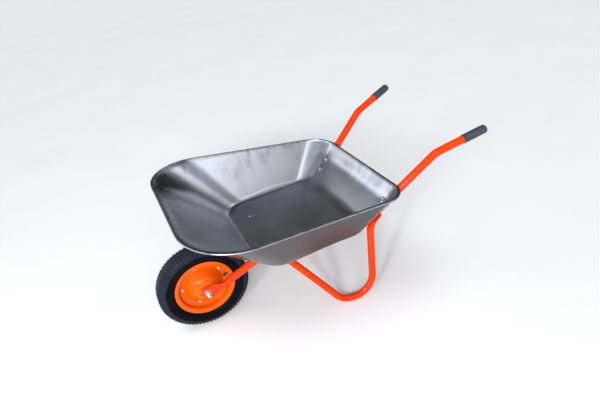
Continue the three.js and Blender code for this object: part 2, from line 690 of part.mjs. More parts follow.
const VALVE_AXIS = v3(Math.cos(rad(VALVE_DEG)), 0, Math.sin(rad(VALVE_DEG)));
const valvePoint = (r) => v3(0, VALVE_OFFSET, AXLE_Z).addScaledVector(VALVE_AXIS, r);

function rimHalf(side) {
  const half = turned(strip(rimLine(), RIM_SHEET), WHEEL_SIDES);
  const y = HUB_HALF_WIDTH;
  const holes = rimBoltPlaces().map((p) => bore(
    RIM_BOLT_D + BOLT_HOLE_CLEARANCE, v3(p.x, -y, p.z), v3(p.x, y, p.z), 6));
  const valveHole = bore(VALVE_D + 1, valvePoint(RIM_BOLT_CIRCLE_R + 9), valvePoint(BEAD_SEAT_R + 5), 10);
  if (side > 0) holes.push(valveHole);
  return cut(side > 0 ? half : mirrored(half), ...holes);
}

function addRimBolts() {
  const out = RIM_SHEET + GAP / 2;
  const headD = RIM_BOLT_D * 2.1;
  const nutY = -(out + GAP + RIM_BOLT_D * 0.8);
  rimBoltPlaces().forEach((p, i) => {
    const shank = RIM_BOLT_D / 2;
    const end = nutY - 2 * GAP - 2;
    const outline = [v2(0, end), v2(shank, end), v2(shank, out + GAP), v2(headD / 2, out + GAP)];
    outline.push(v2(headD / 2, out + 1.6), v2(headD * 0.3, out + 3.4), v2(0, out + 3.8));
    add(`rim_bolt_${i + 1}`, new THREE.LatheGeometry(outline, 8).translate(p.x, 0, p.z), zinc);
    add(`rim_nut_${i + 1}`, hexNut(RIM_BOLT_D, RIM_BOLT_D * 0.8).translate(p.x, nutY, p.z), zinc);
  });
}

// Half of a tyre's section, mirrored into a closed horseshoe that is open towards the axle.
function tyre() {
  const bead = BEAD_SEAT_R + GAP;
  const flangeTop = BEAD_SEAT_R + FLANGE_HEIGHT;
  const half = TYRE_WIDTH / 2;
  const tall = TYRE_R - flangeTop;
  const clearFlange = FLANGE_HALF_WIDTH - RIM_SHEET - GAP - 1.6;
  const toe = VALVE_OFFSET + VALVE_D / 2 + 1;
  const outer = [
    v2(bead, toe), v2(bead, clearFlange - 4), v2(bead + 5, clearFlange - 1), v2(flangeTop, clearFlange),
    v2(flangeTop + tall * 0.18, half - 3), v2(flangeTop + tall * 0.5, half), v2(TYRE_R - 9, half - 9),
    v2(TYRE_R - 1.8, half * 0.4),
  ];
  const inner = [
    v2(TYRE_R - TYRE_WALL - 2, half * 0.4), v2(flangeTop + tall * 0.45, half - TYRE_WALL),
    v2(flangeTop + 3, clearFlange - 3), v2(bead + 6, toe + 1.5),
  ];
  const flip = (points) => points.map((p) => v2(p.x, -p.y)).reverse();
  const outside = [...outer, v2(TYRE_R, 0), ...flip(outer)];
  const inside = [...flip(inner), v2(TYRE_R - TYRE_WALL, 0), ...inner];
  return turned([...outside, ...inside], WHEEL_SIDES);
}

// The inner tube fills the tyre; its wall is open only where the valve goes through.
function innerTube() {
  const lowest = BEAD_SEAT_R + 1.5;
  const highest = TYRE_R - TYRE_WALL - 4;
  const r = (highest - lowest) / 2;
  const wide = (TYRE_WIDTH / 2 - TYRE_WALL) * 0.73;
  const betweenBeads = VALVE_OFFSET + VALVE_D / 2;
  const section = (inset) => Array.from({ length: 8 }, (_, k) => {
    const a = (Math.PI * (2 * k + 1)) / 8;
    const halfWidth = Math.cos(a) < -0.5 ? betweenBeads : wide;
    return v2(lowest + r + (r - inset) * Math.cos(a), (halfWidth - inset) * Math.sin(a));
  });
  const outside = turned(section(0), WHEEL_SIDES - 8);
  const hollow = turned(section(TUBE_RUBBER), WHEEL_SIDES - 8);
  const hole = bore(VALVE_D + 2 * GAP, valvePoint(BEAD_SEAT_R - 6), valvePoint(BEAD_SEAT_R + 26), 10);
  return cut(outside, hollow, hole);
}

function addValve() {
  const inner = BEAD_SEAT_R - VALVE_LENGTH;
  const stemEnd = inner + 7;
  const r = VALVE_D / 2;
  const stem = join(
    rod(VALVE_D, valvePoint(stemEnd + 3), valvePoint(BEAD_SEAT_R + 18), 12),
    rod(VALVE_D * 0.6, valvePoint(inner + 3), valvePoint(stemEnd + 4), 12),
  );
  const cap = cut(
    rod(VALVE_D * 0.95, valvePoint(inner), valvePoint(stemEnd + 3 - GAP), 12),
    rod(VALVE_D * 0.6 + 2 * GAP, valvePoint(inner + 3 - GAP), valvePoint(stemEnd + r), 12),
  );
  add('valve_stem', stem, tyreRubber);
  add('valve_cap', cap, tyreRubber);
}

function addBearings() {
  const outerR = BEARING_D / 2;
  const boreR = AXLE_D / 2 + GAP;
  const y1 = HUB_HALF_WIDTH;
  const y0 = y1 - BEARING_WIDTH;
  addPair('bearing_outer', ring(outerR - RACE_WALL, outerR, y0, y1), bearingSteel);
  addPair('bearing_inner', ring(boreR, boreR + RACE_WALL, y0, y1), bearingSteel);
  const cageInset = 1.5;
  const cage = ring(boreR + RACE_WALL + GAP, outerR - RACE_WALL - GAP, y0 + cageInset, y1 - cageInset);
  addPair('bearing_cage', cage, bearingSteel);
  add('hub_sleeve', ring(boreR, boreR + RACE_WALL, GAP - y0, y0 - GAP), bearingSteel);
}

const LUG_HALF = TUBE_WALL + GAP / 2; // half the thickness of the flattened end

function axleHole() {
  const reach = 2 * LUG_Y;
  return bore(AXLE_D + BOLT_HOLE_CLEARANCE, v3(0, -reach, AXLE_Z), v3(0, reach, AXLE_Z), 12);
}

function addAxle() {
  const boreR = AXLE_D / 2 + GAP;
  const lugOut = LUG_Y + LUG_HALF;
  const lugIn = LUG_Y - LUG_HALF;
  const nut = AXLE_D * 0.8;
  const headHeight = AXLE_D * 0.65;
  const seat = lugOut + 2 * GAP + AXLE_WASHER_THICK;
  addPair('axle_spacer', ring(boreR, boreR + RACE_WALL, HUB_HALF_WIDTH + GAP, lugIn - GAP, 16), zinc);
  addPair('axle_washer', ring(boreR, AXLE_D, lugOut + GAP, lugOut + GAP + AXLE_WASHER_THICK, 16), zinc);
  const headY = -(seat + headHeight);
  const shankEnd = seat + nut + AXLE_BEYOND_NUT + GAP;
  const head = hexNut(AXLE_D, headHeight).translate(0, headY, AXLE_Z);
  const shank = rod(AXLE_D, v3(0, headY, AXLE_Z), v3(0, shankEnd, AXLE_Z), 16);
  const plug = rod(AXLE_D + 2 * BOLT_HOLE_CLEARANCE, v3(0, headY, AXLE_Z), v3(0, -seat, AXLE_Z), 16);
  add('axle_bolt', join(head, plug, shank), zinc);
  add('axle_nut', hexNut(AXLE_D, nut).translate(0, seat + GAP, AXLE_Z), zinc);
}

// ---------------------------------------------------------------- the wheelbarrow

add('tray', tray(), galvanised);
addPair('frame_tube', frameTube(), framePaint);
addPair('leg', leg(), framePaint);
addPair('grip', grip(), gripRubber);
addTrayFasteners();
add('tyre', tyre(), tyreRubber);
add('inner_tube', innerTube(), tyreRubber);
addValve();
add('rim_half_left', rimHalf(1), rimPaint);
add('rim_half_right', rimHalf(-1), rimPaint);
addRimBolts();
addBearings();
addAxle();

// The origin goes to the middle of the box, at ground level.
const box = new THREE.Box3().setFromObject(group);
group.position.set(-(box.min.x + box.max.x) / 2, 0, -box.min.z);
group.updateMatrixWorld(true);

export default group;
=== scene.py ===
"""A single-wheel wheelbarrow, dressed round its CAD frame.

Shapes are worked out in millimetres in the barrow's own frame: +X forward, +Y to the left, +Z up, with the
origin on the ground under the axle. place() turns such a point into the row frame, in metres.
"""

import json
import math

import bmesh
import bpy
from mathutils import Matrix, Vector


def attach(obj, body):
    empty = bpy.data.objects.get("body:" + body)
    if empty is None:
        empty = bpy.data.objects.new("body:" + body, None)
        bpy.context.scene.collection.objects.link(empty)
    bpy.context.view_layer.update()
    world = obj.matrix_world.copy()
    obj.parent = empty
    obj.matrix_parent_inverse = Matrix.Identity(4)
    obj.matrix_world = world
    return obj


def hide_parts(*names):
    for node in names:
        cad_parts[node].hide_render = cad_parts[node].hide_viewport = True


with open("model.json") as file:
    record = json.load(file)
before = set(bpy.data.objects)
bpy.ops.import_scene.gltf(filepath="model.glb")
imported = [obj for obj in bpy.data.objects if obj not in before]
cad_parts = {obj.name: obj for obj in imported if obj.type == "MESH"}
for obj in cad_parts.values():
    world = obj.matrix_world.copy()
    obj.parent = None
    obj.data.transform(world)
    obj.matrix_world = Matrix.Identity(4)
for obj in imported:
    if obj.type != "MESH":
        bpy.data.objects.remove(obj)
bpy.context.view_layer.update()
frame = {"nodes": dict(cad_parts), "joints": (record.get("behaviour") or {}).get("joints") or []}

# ---------------------------------------------------------------- dimensions, in millimetres

MM = 0.001
AXLE = Vector(next(j for j in frame["joints"] if j["name"] == "wheel_spin")["pos_m"])
GAP = 0.3  # between pieces that touch

# Wheel
TYRE_R = AXLE.z / MM
TYRE_HALF_WIDTH = 39
BEAD_SEAT_R = 101.6
FLANGE_R = 118.2
FLANGE_HALF_WIDTH = 30
RIM_SHEET = 1.5
RIM_BOLT_CIRCLE_R = 84
RIM_BOLT_COUNT = 5
RIM_BOLT_START_DEG = 5.5
RIM_BOLT_D = 6
VALVE_DEG = 172
VALVE_OFFSET = 12
VALVE_D = 10.5
VALVE_LENGTH = 22
HUB_HALF_WIDTH = 48
BEARING_D = 28
BEARING_WIDTH = 8
RACE_WALL = 2.4
AXLE_D = 12
AXLE_WASHER = 2.5
AXLE_BEYOND_NUT = 18
TREAD_PITCHES = 72
TREAD_DEPTH = 3.2
TREAD_START_R, TREAD_FULL_R = 147.5, 151  # where the bars begin on the sidewall, and reach full depth
TREAD_CROWN_R = 172  # the grooves round the tyre lie outside it
SIDEWALL_RIDGE_R, BEAD_RIDGE_R = 144, 127

# Tray
SHEET = 1.2
FLOOR_Z = 314
FLOOR_FRONT_X = -(TYRE_R + 16)
FLOOR_LENGTH = 399
FLOOR_HALF_WIDTH = 249
FLOOR_CORNER_FRONT = 95
FLOOR_CORNER_REAR = 52
FRONT_WALL_RUN = 240
FRONT_WALL_RISE = 235
REAR_WALL_LENGTH = 195
RIM_HALF_WIDTH_FRONT = 383  # a little inside the CAD rim, as the lip bulges
RIM_HALF_WIDTH_REAR = 308.5
RIM_CORNER_FRONT = 180
RIM_CORNER_REAR = 94
FOLD_R = 30
REAR_FOLD_R = 95
LIP_WIDTH = 12
LIP_HEIGHT = 10
LIP_CLEARANCE = 0.7
BEAD_R = 3.5  # the rolled edge of the lip
DIMPLE_R = 12.5
DIMPLE_RISE = 1.3

# Frame
TUBE_R = 15
TUBE_WALL = 1.5
LUG_AHEAD = 22
LUG_BEHIND = 52
LUG_Y = 57
TUBE_LINE_Y = 70.5
FORK_DEG = 31.6
FORK_BEND_R = 50
SPLAY = 0.229
RISE_DEG = 39.1
RISE_RUN = 298
HANDLE_DEG = 15.9
HANDLE_RUN = 180
HANDLE_BEND_R = 70
GRIP_LENGTH = 81
GRIP_WALL = 1.7
GRIP_COLLAR = 0.8
GRIP_SKIN = 0.4  # how far the grip stays inside the CAD one

# Legs
LEG_R = 14
FOOT_LENGTH = 124
FOOT_SIDE = 226.3
FOOT_AHEAD_OF_BOLT = 60
FOOT_FRONT_BEND_R = 62
FOOT_REAR_BEND_R = 95
LEG_FRONT_RUN = 23
LEG_FRONT_BEND_R = 24
LEG_REAR_RUN = 54
LEG_REAR_BEND_R = 45
PLATE_REACH = 12

# Fasteners
BOLT_D = 8
BOLT_HEAD_D = 16
BOLT_HEAD_HEIGHT = 4.4
WASHER_THICK = 1.6
THREAD_BEYOND_NUT = 5
FLOOR_BOLT_SETBACK = 76
LOWER_BOLT_ALONG = 74
REAR_BOLT_SPACING = 50

# Derived places
rise = math.radians(RISE_DEG)
ALONG_WALL = Vector((-math.cos(rise), 0, math.sin(rise)))
WALL_NORMAL = Vector((math.sin(rise), 0, math.cos(rise)))
LIP_KICK = LIP_WIDTH * WALL_NORMAL.x + LIP_HEIGHT * WALL_NORMAL.z - SHEET + LIP_CLEARANCE
FLOOR_REAR_X = FLOOR_FRONT_X - FLOOR_LENGTH
REAR_FOLD = Vector((FLOOR_REAR_X, 0, FLOOR_Z))
RIM_REAR = REAR_FOLD + ALONG_WALL * REAR_WALL_LENGTH + WALL_NORMAL * LIP_KICK
RIM_FRONT = Vector((FLOOR_FRONT_X + FRONT_WALL_RUN, 0, FLOOR_Z + FRONT_WALL_RISE))
TUBE_Z = FLOOR_Z - SHEET - GAP - TUBE_R
TUBE_OFFSET = FLOOR_Z - TUBE_Z
FORK_TOP_X = -LUG_BEHIND - (TUBE_Z - TYRE_R) / math.tan(math.radians(FORK_DEG))
RISE_X = FLOOR_REAR_X - TUBE_OFFSET * math.tan(rise / 2)
HANDLE_X = RISE_X - RISE_RUN
HANDLE_Z = TUBE_Z + RISE_RUN * math.tan(rise)
GRIP_END_X = HANDLE_X - HANDLE_RUN
GRIP_END_Z = HANDLE_Z + HANDLE_RUN * math.tan(math.radians(HANDLE_DEG))
PLATE_THICK = 2 * TUBE_WALL + GAP


def tube_y(x):
    return TUBE_LINE_Y - SPLAY * (x + LUG_BEHIND)


def on_tube(x, z):
    return Vector((x, tube_y(x), z))


def wall_bolt(along_wall):
    p = REAR_FOLD + ALONG_WALL * along_wall
    return Vector((p.x, tube_y(p.x - WALL_NORMAL.x * TUBE_OFFSET), p.z))


FLOOR_BOLT_X = FLOOR_FRONT_X - FLOOR_BOLT_SETBACK
# Name: the place on the tray's inside, the direction out of it, and whether the bolt holds a leg too.
TRAY_BOLTS = {
    "floor": (Vector((FLOOR_BOLT_X, tube_y(FLOOR_BOLT_X), FLOOR_Z)), Vector((0, 0, 1)), True),
    "rear_lower": (wall_bolt(LOWER_BOLT_ALONG), WALL_NORMAL, True),
    "rear_upper": (wall_bolt(LOWER_BOLT_ALONG + REAR_BOLT_SPACING), WALL_NORMAL, False),
}

# ---------------------------------------------------------------- materials


class Nodes:
    """A Principled material whose inputs are driven by small node chains."""

    def __init__(self, name):
        self.material = bpy.data.materials.new(name)
        self.material.use_nodes = True
        self.tree = self.material.node_tree
        self.shader = self.tree.nodes["Principled BSDF"]
        self.coordinates = self.tree.nodes.new("ShaderNodeTexCoord").outputs["Object"]

    def set(self, **values):
        for key, value in values.items():
            self.shader.inputs[key.replace("_", " ")].default_value = value

    def link(self, output, node, socket):
        self.tree.links.new(output, node.inputs[socket])

    def noise(self, scale, detail=3.0, roughness=0.5, stretch=(1, 1, 1)):
        mapping = self.tree.nodes.new("ShaderNodeMapping")
        mapping.inputs["Scale"].default_value = stretch
        self.link(self.coordinates, mapping, "Vector")
        texture = self.tree.nodes.new("ShaderNodeTexNoise")
        texture.inputs["Scale"].default_value = scale
        texture.inputs["Detail"].default_value = detail
        texture.inputs["Roughness"].default_value = roughness
        self.link(mapping.outputs["Vector"], texture, "Vector")
        return texture.outputs["Fac"]

    def height(self, low, high):
        """0 below the height low and 1 above high, in metres in the row frame."""
        split = self.tree.nodes.new("ShaderNodeSeparateXYZ")
        self.link(self.coordinates, split, "Vector")
        return self.spread(split.outputs["Z"], 0, 1, low, high)

    def facing_down(self):
        """0 on surfaces that face up or sideways and 1 on those that face down: the mask of the tray's
        painted underside shade.
        """
        geometry = self.tree.nodes.new("ShaderNodeNewGeometry")
        split = self.tree.nodes.new("ShaderNodeSeparateXYZ")
        self.link(geometry.outputs["True Normal"], split, "Vector")
        return self.spread(split.outputs["Z"], 1, 0, -0.35, -0.1)

    def radius(self, centre):
        """The distance from a centre, across the Y axis."""
        mapping = self.tree.nodes.new("ShaderNodeMapping")
        mapping.inputs["Location"].default_value = (-centre.x, 0, -centre.z)
        mapping.inputs["Scale"].default_value = (1, 0, 1)
        self.link(self.coordinates, mapping, "Vector")
        length = self.tree.nodes.new("ShaderNodeVectorMath")
        length.operation = "LENGTH"
        self.link(mapping.outputs["Vector"], length, 0)
        return length.outputs["Value"]

    def spread(self, value, low, high, start=0.3, end=0.7):
        """Maps value from start..end to low..high."""
        node = self.tree.nodes.new("ShaderNodeMapRange")
        node.inputs["From Min"].default_value = start
        node.inputs["From Max"].default_value = end
        node.inputs["To Min"].default_value = low
        node.inputs["To Max"].default_value = high
        self.link(value, node, "Value")
        return node.outputs["Result"]

    def maths(self, operation, a, b):
        node = self.tree.nodes.new("ShaderNodeMath")
        node.operation = operation
        self.link(a, node, 0)
        if isinstance(b, (int, float)):
            node.inputs[1].default_value = b
        else:
            self.link(b, node, 1)
        return node.outputs["Value"]

    def colours(self, value, *stops):
        """A colour ramp of (position, (r, g, b)) stops."""
        ramp = self.tree.nodes.new("ShaderNodeValToRGB")
        elements = ramp.color_ramp.elements
        elements[0].position, elements[1].position = stops[0][0], stops[-1][0]
        elements[0].color, elements[1].color = (*stops[0][1], 1), (*stops[-1][1], 1)
        for position, colour in stops[1:-1]:
            elements.new(position).color = (*colour, 1)
        self.link(value, ramp, "Fac")
        return ramp.outputs["Color"]

    def drive(self, output, socket):
        self.link(output, self.shader, socket)

    def bump(self, value, distance, strength=1.0):
        node = self.tree.nodes.new("ShaderNodeBump")
        node.inputs["Strength"].default_value = strength
        node.inputs["Distance"].default_value = distance
        self.link(value, node, "Height")
        self.drive(node.outputs["Normal"], "Normal")


def paint(name, deep, bright, roughness):
    m = Nodes(name)
    m.drive(m.colours(m.noise(9, 4), (0.3, deep), (0.7, bright)), "Base Color")
    m.drive(m.spread(m.noise(40, 3), roughness - 0.05, roughness + 0.08), "Roughness")
    m.bump(m.noise(900, 2), 0.00012, 0.35)  # orange peel
    m.set(Coat_Weight=0.3, Coat_Roughness=0.045, Specular_IOR_Level=0.05)
    return m.material


def galvanised():
    m = Nodes("galvanised_sheet")
    cloud = m.noise(5, 2, 0.5)
    streaks = m.noise(6, 3, 0.5, (5, 5, 0.7))
    smudge = m.maths("MULTIPLY", m.spread(streaks, 0, 1, 0.48, 0.72), m.height(0.36, 0.5))
    shade = m.maths("SUBTRACT", m.spread(cloud, 0.35, 0.75), m.maths("MULTIPLY", smudge, 0.35))
    # Painted shade: the outside skin, which faces down, is painted darker, standing in for the shaded floor
    # it mirrors.
    shade = m.maths("SUBTRACT", shade, m.maths("MULTIPLY", m.facing_down(), 0.65))
    # The dark first stop is the colour of that painted shade; the deepest smudges reach towards it too.
    stops = (0.0, (0.10, 0.10, 0.105)), (0.5, (0.44, 0.46, 0.50)), (1.0, (0.57, 0.60, 0.64))
    m.drive(m.colours(shade, *stops), "Base Color")
    m.drive(m.spread(cloud, 0.24, 0.31), "Roughness")
    m.bump(m.noise(4, 0), 0.004, 0.12)
    m.set(Metallic=1.0)
    return m.material


def metal(name, dark, light, roughness, grain=300):
    m = Nodes(name)
    m.drive(m.colours(m.noise(grain, 3), (0.3, dark), (0.7, light)), "Base Color")
    m.drive(m.spread(m.noise(grain / 2, 3), roughness - 0.06, roughness + 0.08), "Roughness")
    m.bump(m.noise(grain * 3, 2), 0.00008, 0.4)
    m.set(Metallic=1.0)
    return m.material


def rubber(name, dark, light, roughness, grain=700, shine=0.5):
    m = Nodes(name)
    m.drive(m.colours(m.noise(14, 5, 0.6), (0.3, dark), (0.75, light)), "Base Color")
    m.drive(m.spread(m.noise(30, 4), roughness - 0.08, roughness + 0.1), "Roughness")
    m.bump(m.noise(grain, 3), 0.0002, 0.5)
    m.set(Specular_IOR_Level=shine)
    return m.material


def tyre_rubber():
    """Black on the sidewalls, and lighter on the tread as a painted sheen of the light it catches from
    above.
    """
    m = Nodes("tyre_rubber")
    # Painted highlight: the colour lightens outwards onto the tread towards the last stop, standing in for
    # light on the shoulder; the added noise is random tone.
    tread = m.spread(m.radius(AXLE), 0, 0.7, 0.147, 0.156)
    shade = m.maths("ADD", tread, m.spread(m.noise(25, 4, 0.6), 0, 0.3))
    stops = (0.0, (0.002, 0.002, 0.004)), (0.3, (0.005, 0.005, 0.009)), (1.0, (0.027, 0.029, 0.044))
    m.drive(m.colours(shade, *stops), "Base Color")
    m.drive(m.spread(m.noise(30, 4), 0.34, 0.5), "Roughness")
    m.bump(m.noise(500, 3), 0.0002, 0.5)
    m.set(Specular_IOR_Level=0.04)
    return m.material


FRAME_PAINT = paint("frame_powder_coat", (0.66, 0.034, 0.0004), (0.79, 0.046, 0.0006), 0.22)
RIM_PAINT = paint("rim_gloss_paint", (0.66, 0.084, 0.0006), (0.76, 0.108, 0.001), 0.18)
GALVANISED = galvanised()
ZINC = metal("zinc_plate", (0.55, 0.56, 0.58), (0.74, 0.75, 0.77), 0.24)
BEARING_STEEL = metal("bearing_steel", (0.32, 0.33, 0.34), (0.5, 0.51, 0.52), 0.3)
GRIP_RUBBER = rubber("grip_rubber", (0.036, 0.040, 0.060), (0.060, 0.066, 0.095), 0.42, 700, 0.35)
TYRE_RUBBER = tyre_rubber()
VALVE_RUBBER = rubber("valve_rubber", (0.008, 0.008, 0.009), (0.016, 0.016, 0.018), 0.42)

# ---------------------------------------------------------------- making pieces

CHAMFER_SLOPE = 1.53  # of a nut's corners: how far they stand out per unit of height


def place(p):
    return Vector((p[0] * MM + AXLE.x, p[1] * MM, p[2] * MM))


def piece(name, points, faces, body, material, slot, nodes, sharp_deg=38):
    """A mesh from points in the barrow's frame. It rides on a body and stands for CAD nodes."""
    mesh = bpy.data.meshes.new(name)
    mesh.from_pydata([place(p) for p in points], [], faces)
    bm = bmesh.new()
    bm.from_mesh(mesh)
    bmesh.ops.remove_doubles(bm, verts=bm.verts, dist=2e-6)
    bmesh.ops.dissolve_degenerate(bm, edges=bm.edges, dist=1e-7)
    bmesh.ops.recalc_face_normals(bm, faces=bm.faces)
    for face in bm.faces:
        face.smooth = True
    for edge in bm.edges:
        if len(edge.link_faces) == 2 and edge.calc_face_angle(0) > math.radians(sharp_deg):
            edge.smooth = False
    bm.to_mesh(mesh)
    bm.free()
    obj = bpy.data.objects.new(name, mesh)
    bpy.context.scene.collection.objects.link(obj)
    mesh.materials.append(material)
    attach(obj, body)
    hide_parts(*nodes)
    return obj


def pair(name, points, faces, body, material, slot, node, **options):
    """The same piece on both sides of the middle plane."""
    for side, sign in (("left", 1), ("right", -1)):
        mirrored = [(p[0], sign * p[1], p[2]) for p in points]
        piece(f"{name}_{side}", mirrored, faces, body, material, slot, [f"{node}_{side}"], **options)


def quads(rows, columns, close_rows, close_columns):
    """Faces of a grid of points stored row after row."""
    faces = []
    for r in range(rows if close_rows else rows - 1):
        for c in range(columns if close_columns else columns - 1):
            a, b = r * columns + c, r * columns + (c + 1) % columns
            shift = ((r + 1) % rows) * columns
            faces.append((a, b, shift + (c + 1) % columns, shift + c))
    return faces


def turned(profile, origin, axis, segments=48, closed=False, shape=None):
    """A profile of (radius, height) points turned round an axis. shape(angle, radius, height) sets radii."""
    axis = axis.normalized()
    u = axis.orthogonal().normalized()
    if abs(axis.y) > 0.99:
        u = Vector((0, 0, 1))
    v = axis.cross(u)
    points = []
    for k in range(segments):
        angle = 2 * math.pi * k / segments
        for radius, height in profile:
            r = shape(angle, radius, height) if shape else radius
            points.append(origin + axis * height + (u * math.cos(angle) + v * math.sin(angle)) * r)
    return points, quads(segments, len(profile), True, closed)


def ring_profile(inner, outer, low, high, chamfer=0.4):
    """The closed profile of a ring with chamfered corners."""
    c = chamfer
    return [
        (inner, low + c), (inner + c, low), (outer - c, low), (outer, low + c),
        (outer, high - c), (outer - c, high), (inner + c, high), (inner, high - c),
    ]


def hexagon(across_flats, low, high):
    """A shape for turned(): a hexagon with its corners chamfered near both ends."""
    half = across_flats / 2

    def shape(angle, radius, height):
        if radius < half * 0.9:
            return radius
        turn = (angle + math.pi / 6) % (math.pi / 3) - math.pi / 6
        edge = half / math.cos(turn)
        depth = min(height - low, high - height)
        return min(edge, half * 0.97 + depth * CHAMFER_SLOPE)

    return shape


def hex_nut(origin, axis, bolt_d, height, segments=72):
    half = bolt_d * 0.94 * math.cos(math.pi / 6)
    levels = [0, 0.25, 0.5, 0.8, 1.2]
    up = [(half, h) for h in levels] + [(half, height - h) for h in reversed(levels)]
    inner = bolt_d / 2 + 0.25
    profile = up + [(inner + 0.7, height), (inner, height - 0.7), (inner, 0.7), (inner + 0.7, 0)]
    return turned(profile, origin, axis, segments, True, hexagon(2 * half, 0, height))


def threads(radius, start, end, pitch=1.25, depth=0.6):
    """Profile points of a thread's ridges from one height to another."""
    count = max(1, round(abs(end - start) / pitch))
    step = (end - start) / count
    points = []
    for k in range(count):
        points += [(radius - depth, start + k * step), (radius, start + (k + 0.5) * step)]
    return points + [(radius - depth, end)]


def smoothstep(x, low, high):
    t = min(1, max(0, (x - low) / (high - low)))
    return t * t * (3 - 2 * t)


def lerp(a, b, t):
    return a + (b - a) * t


def catmull(points, steps):
    """A smooth curve through points, as a list of vectors."""
    out = []
    for i in range(len(points) - 1):
        p0, p1, p2 = points[max(i - 1, 0)], points[i], points[i + 1]
        p3 = points[min(i + 2, len(points) - 1)]
        for k in range(steps):
            t = k / steps
            slope, bow, twist = p2 - p0, p0 * 2 - p1 * 5 + p2 * 4 - p3, p1 * 3 - p0 - p2 * 3 + p3
            out.append(p1 + (slope * t + bow * t ** 2 + twist * t ** 3) * 0.5)
    return out + [points[-1].copy()]


# ---------------------------------------------------------------- bent tubes


def bent_path(corners, spacing=7.0, turn_deg=4.0):
    """Points and directions along straight runs joined by round bends. corners are (point, bend radius)."""
    stations = []
    for i, (p, r) in enumerate(corners):
        before = corners[i - 1][0] if i else None
        after = corners[i + 1][0] if i + 1 < len(corners) else None
        if before is None or after is None:
            direction = (after - p) if before is None else (p - before)
            stations.append((p.copy(), direction.normalized()))
            continue
        a, b = (p - before).normalized(), (after - p).normalized()
        half = a.angle(b) / 2
        start = p - a * (r * math.tan(half))
        centre = p + (b - a).normalized() * (r / math.cos(half))
        axis = a.cross(b).normalized()
        steps = max(3, math.ceil(math.degrees(2 * half) / turn_deg))
        for k in range(steps + 1):
            turn = Matrix.Rotation(2 * half * k / steps, 3, axis)
            stations.append((turn @ (start - centre) + centre, turn @ a))
    path = [stations[0]]
    for station in stations[1:]:
        last = path[-1]
        count = math.ceil((station[0] - last[0]).length / spacing)
        for k in range(1, count):
            t = k / count
            path.append((last[0].lerp(station[0], t), last[1].lerp(station[1], t).normalized()))
        path.append(station)
    return path


def swept_tube(path, radius, wall, normal, plate, lift=0.0, sides=36, tip=18.0):
    """A round tube, flattened where plate(s, total) says, as (how flat, direction across the flat)."""
    lengths = [0.0]
    for a, b in zip(path, path[1:]):
        lengths.append(lengths[-1] + (b[0] - a[0]).length)
    total = lengths[-1]
    plate_half = math.pi * radius / 2 - wall
    thin_half = wall + GAP / 2
    points = []
    for (p, t), s in zip(path, lengths):
        flat, thin = plate(s, total)
        across = normal.cross(t).normalized()
        thin = thin if thin.dot(across) > 0 else -thin
        rise_side = 1 if thin.z >= 0 else -1
        across = across.lerp(thin, flat)
        across = (across - t * across.dot(t)).normalized()
        wide = across.cross(t).normalized()
        to_end = min(s, total - s)
        spreading = flat * (2 - flat)  # the tube widens sooner than it thins
        trim = plate_half
        if flat > 0.5 and to_end < tip:
            trim = plate_half - tip + math.sqrt(max(0.0, tip ** 2 - (tip - to_end) ** 2))
        for k in range(sides):
            angle = 2 * math.pi * k / sides
            c, w = math.cos(angle), math.sin(angle)
            edge = min(1.0, max(-1.0, 1.6 * w))
            x = lerp(radius * c, trim * math.copysign(abs(c) ** 0.8, c), spreading)
            z = lerp(radius * w, rise_side * lift + thin_half * math.copysign(abs(edge) ** 0.6, edge), flat)
            points.append(p + wide * x + across * z)
    faces = quads(len(path), sides, False, True)
    last = (len(path) - 1) * sides
    faces += [tuple(range(sides)), tuple(range(last, last + sides))]
    return points, faces


def make_frame_tubes():
    corners = [
        (Vector((LUG_AHEAD, LUG_Y, TYRE_R)), 0),
        (Vector((-LUG_BEHIND, LUG_Y, TYRE_R)), FORK_BEND_R),
        (on_tube(FORK_TOP_X, TUBE_Z), FORK_BEND_R),
        (on_tube(RISE_X, TUBE_Z), REAR_FOLD_R),
        (on_tube(HANDLE_X, HANDLE_Z), HANDLE_BEND_R),
        (on_tube(GRIP_END_X, GRIP_END_Z), 0),
    ]
    start = corners[0][0]
    direction = (corners[1][0] - start).normalized()
    steps = (0, 0.4, 1.2, 2.5, 4.5)  # closer together at the tip, which is round
    lead = [(start + direction * step, direction) for step in steps]
    path = lead + [s for s in bent_path(corners, 5.0) if (s[0] - start).dot(direction) > 5.5]
    flat_until = LUG_AHEAD + 1.6 * TUBE_R
    turns_round = 6.4 * TUBE_R

    def plate(s, _):
        return 1 - smoothstep(s, flat_until, flat_until + turns_round), Vector((0, 1, 0))

    bend_normal = Vector((SPLAY, 1, 0)).normalized()
    points, faces = swept_tube(path, TUBE_R, TUBE_WALL, bend_normal, plate)
    pair("main_tube", points, faces, "frame", FRAME_PAINT, "frame_paint", "frame_tube")


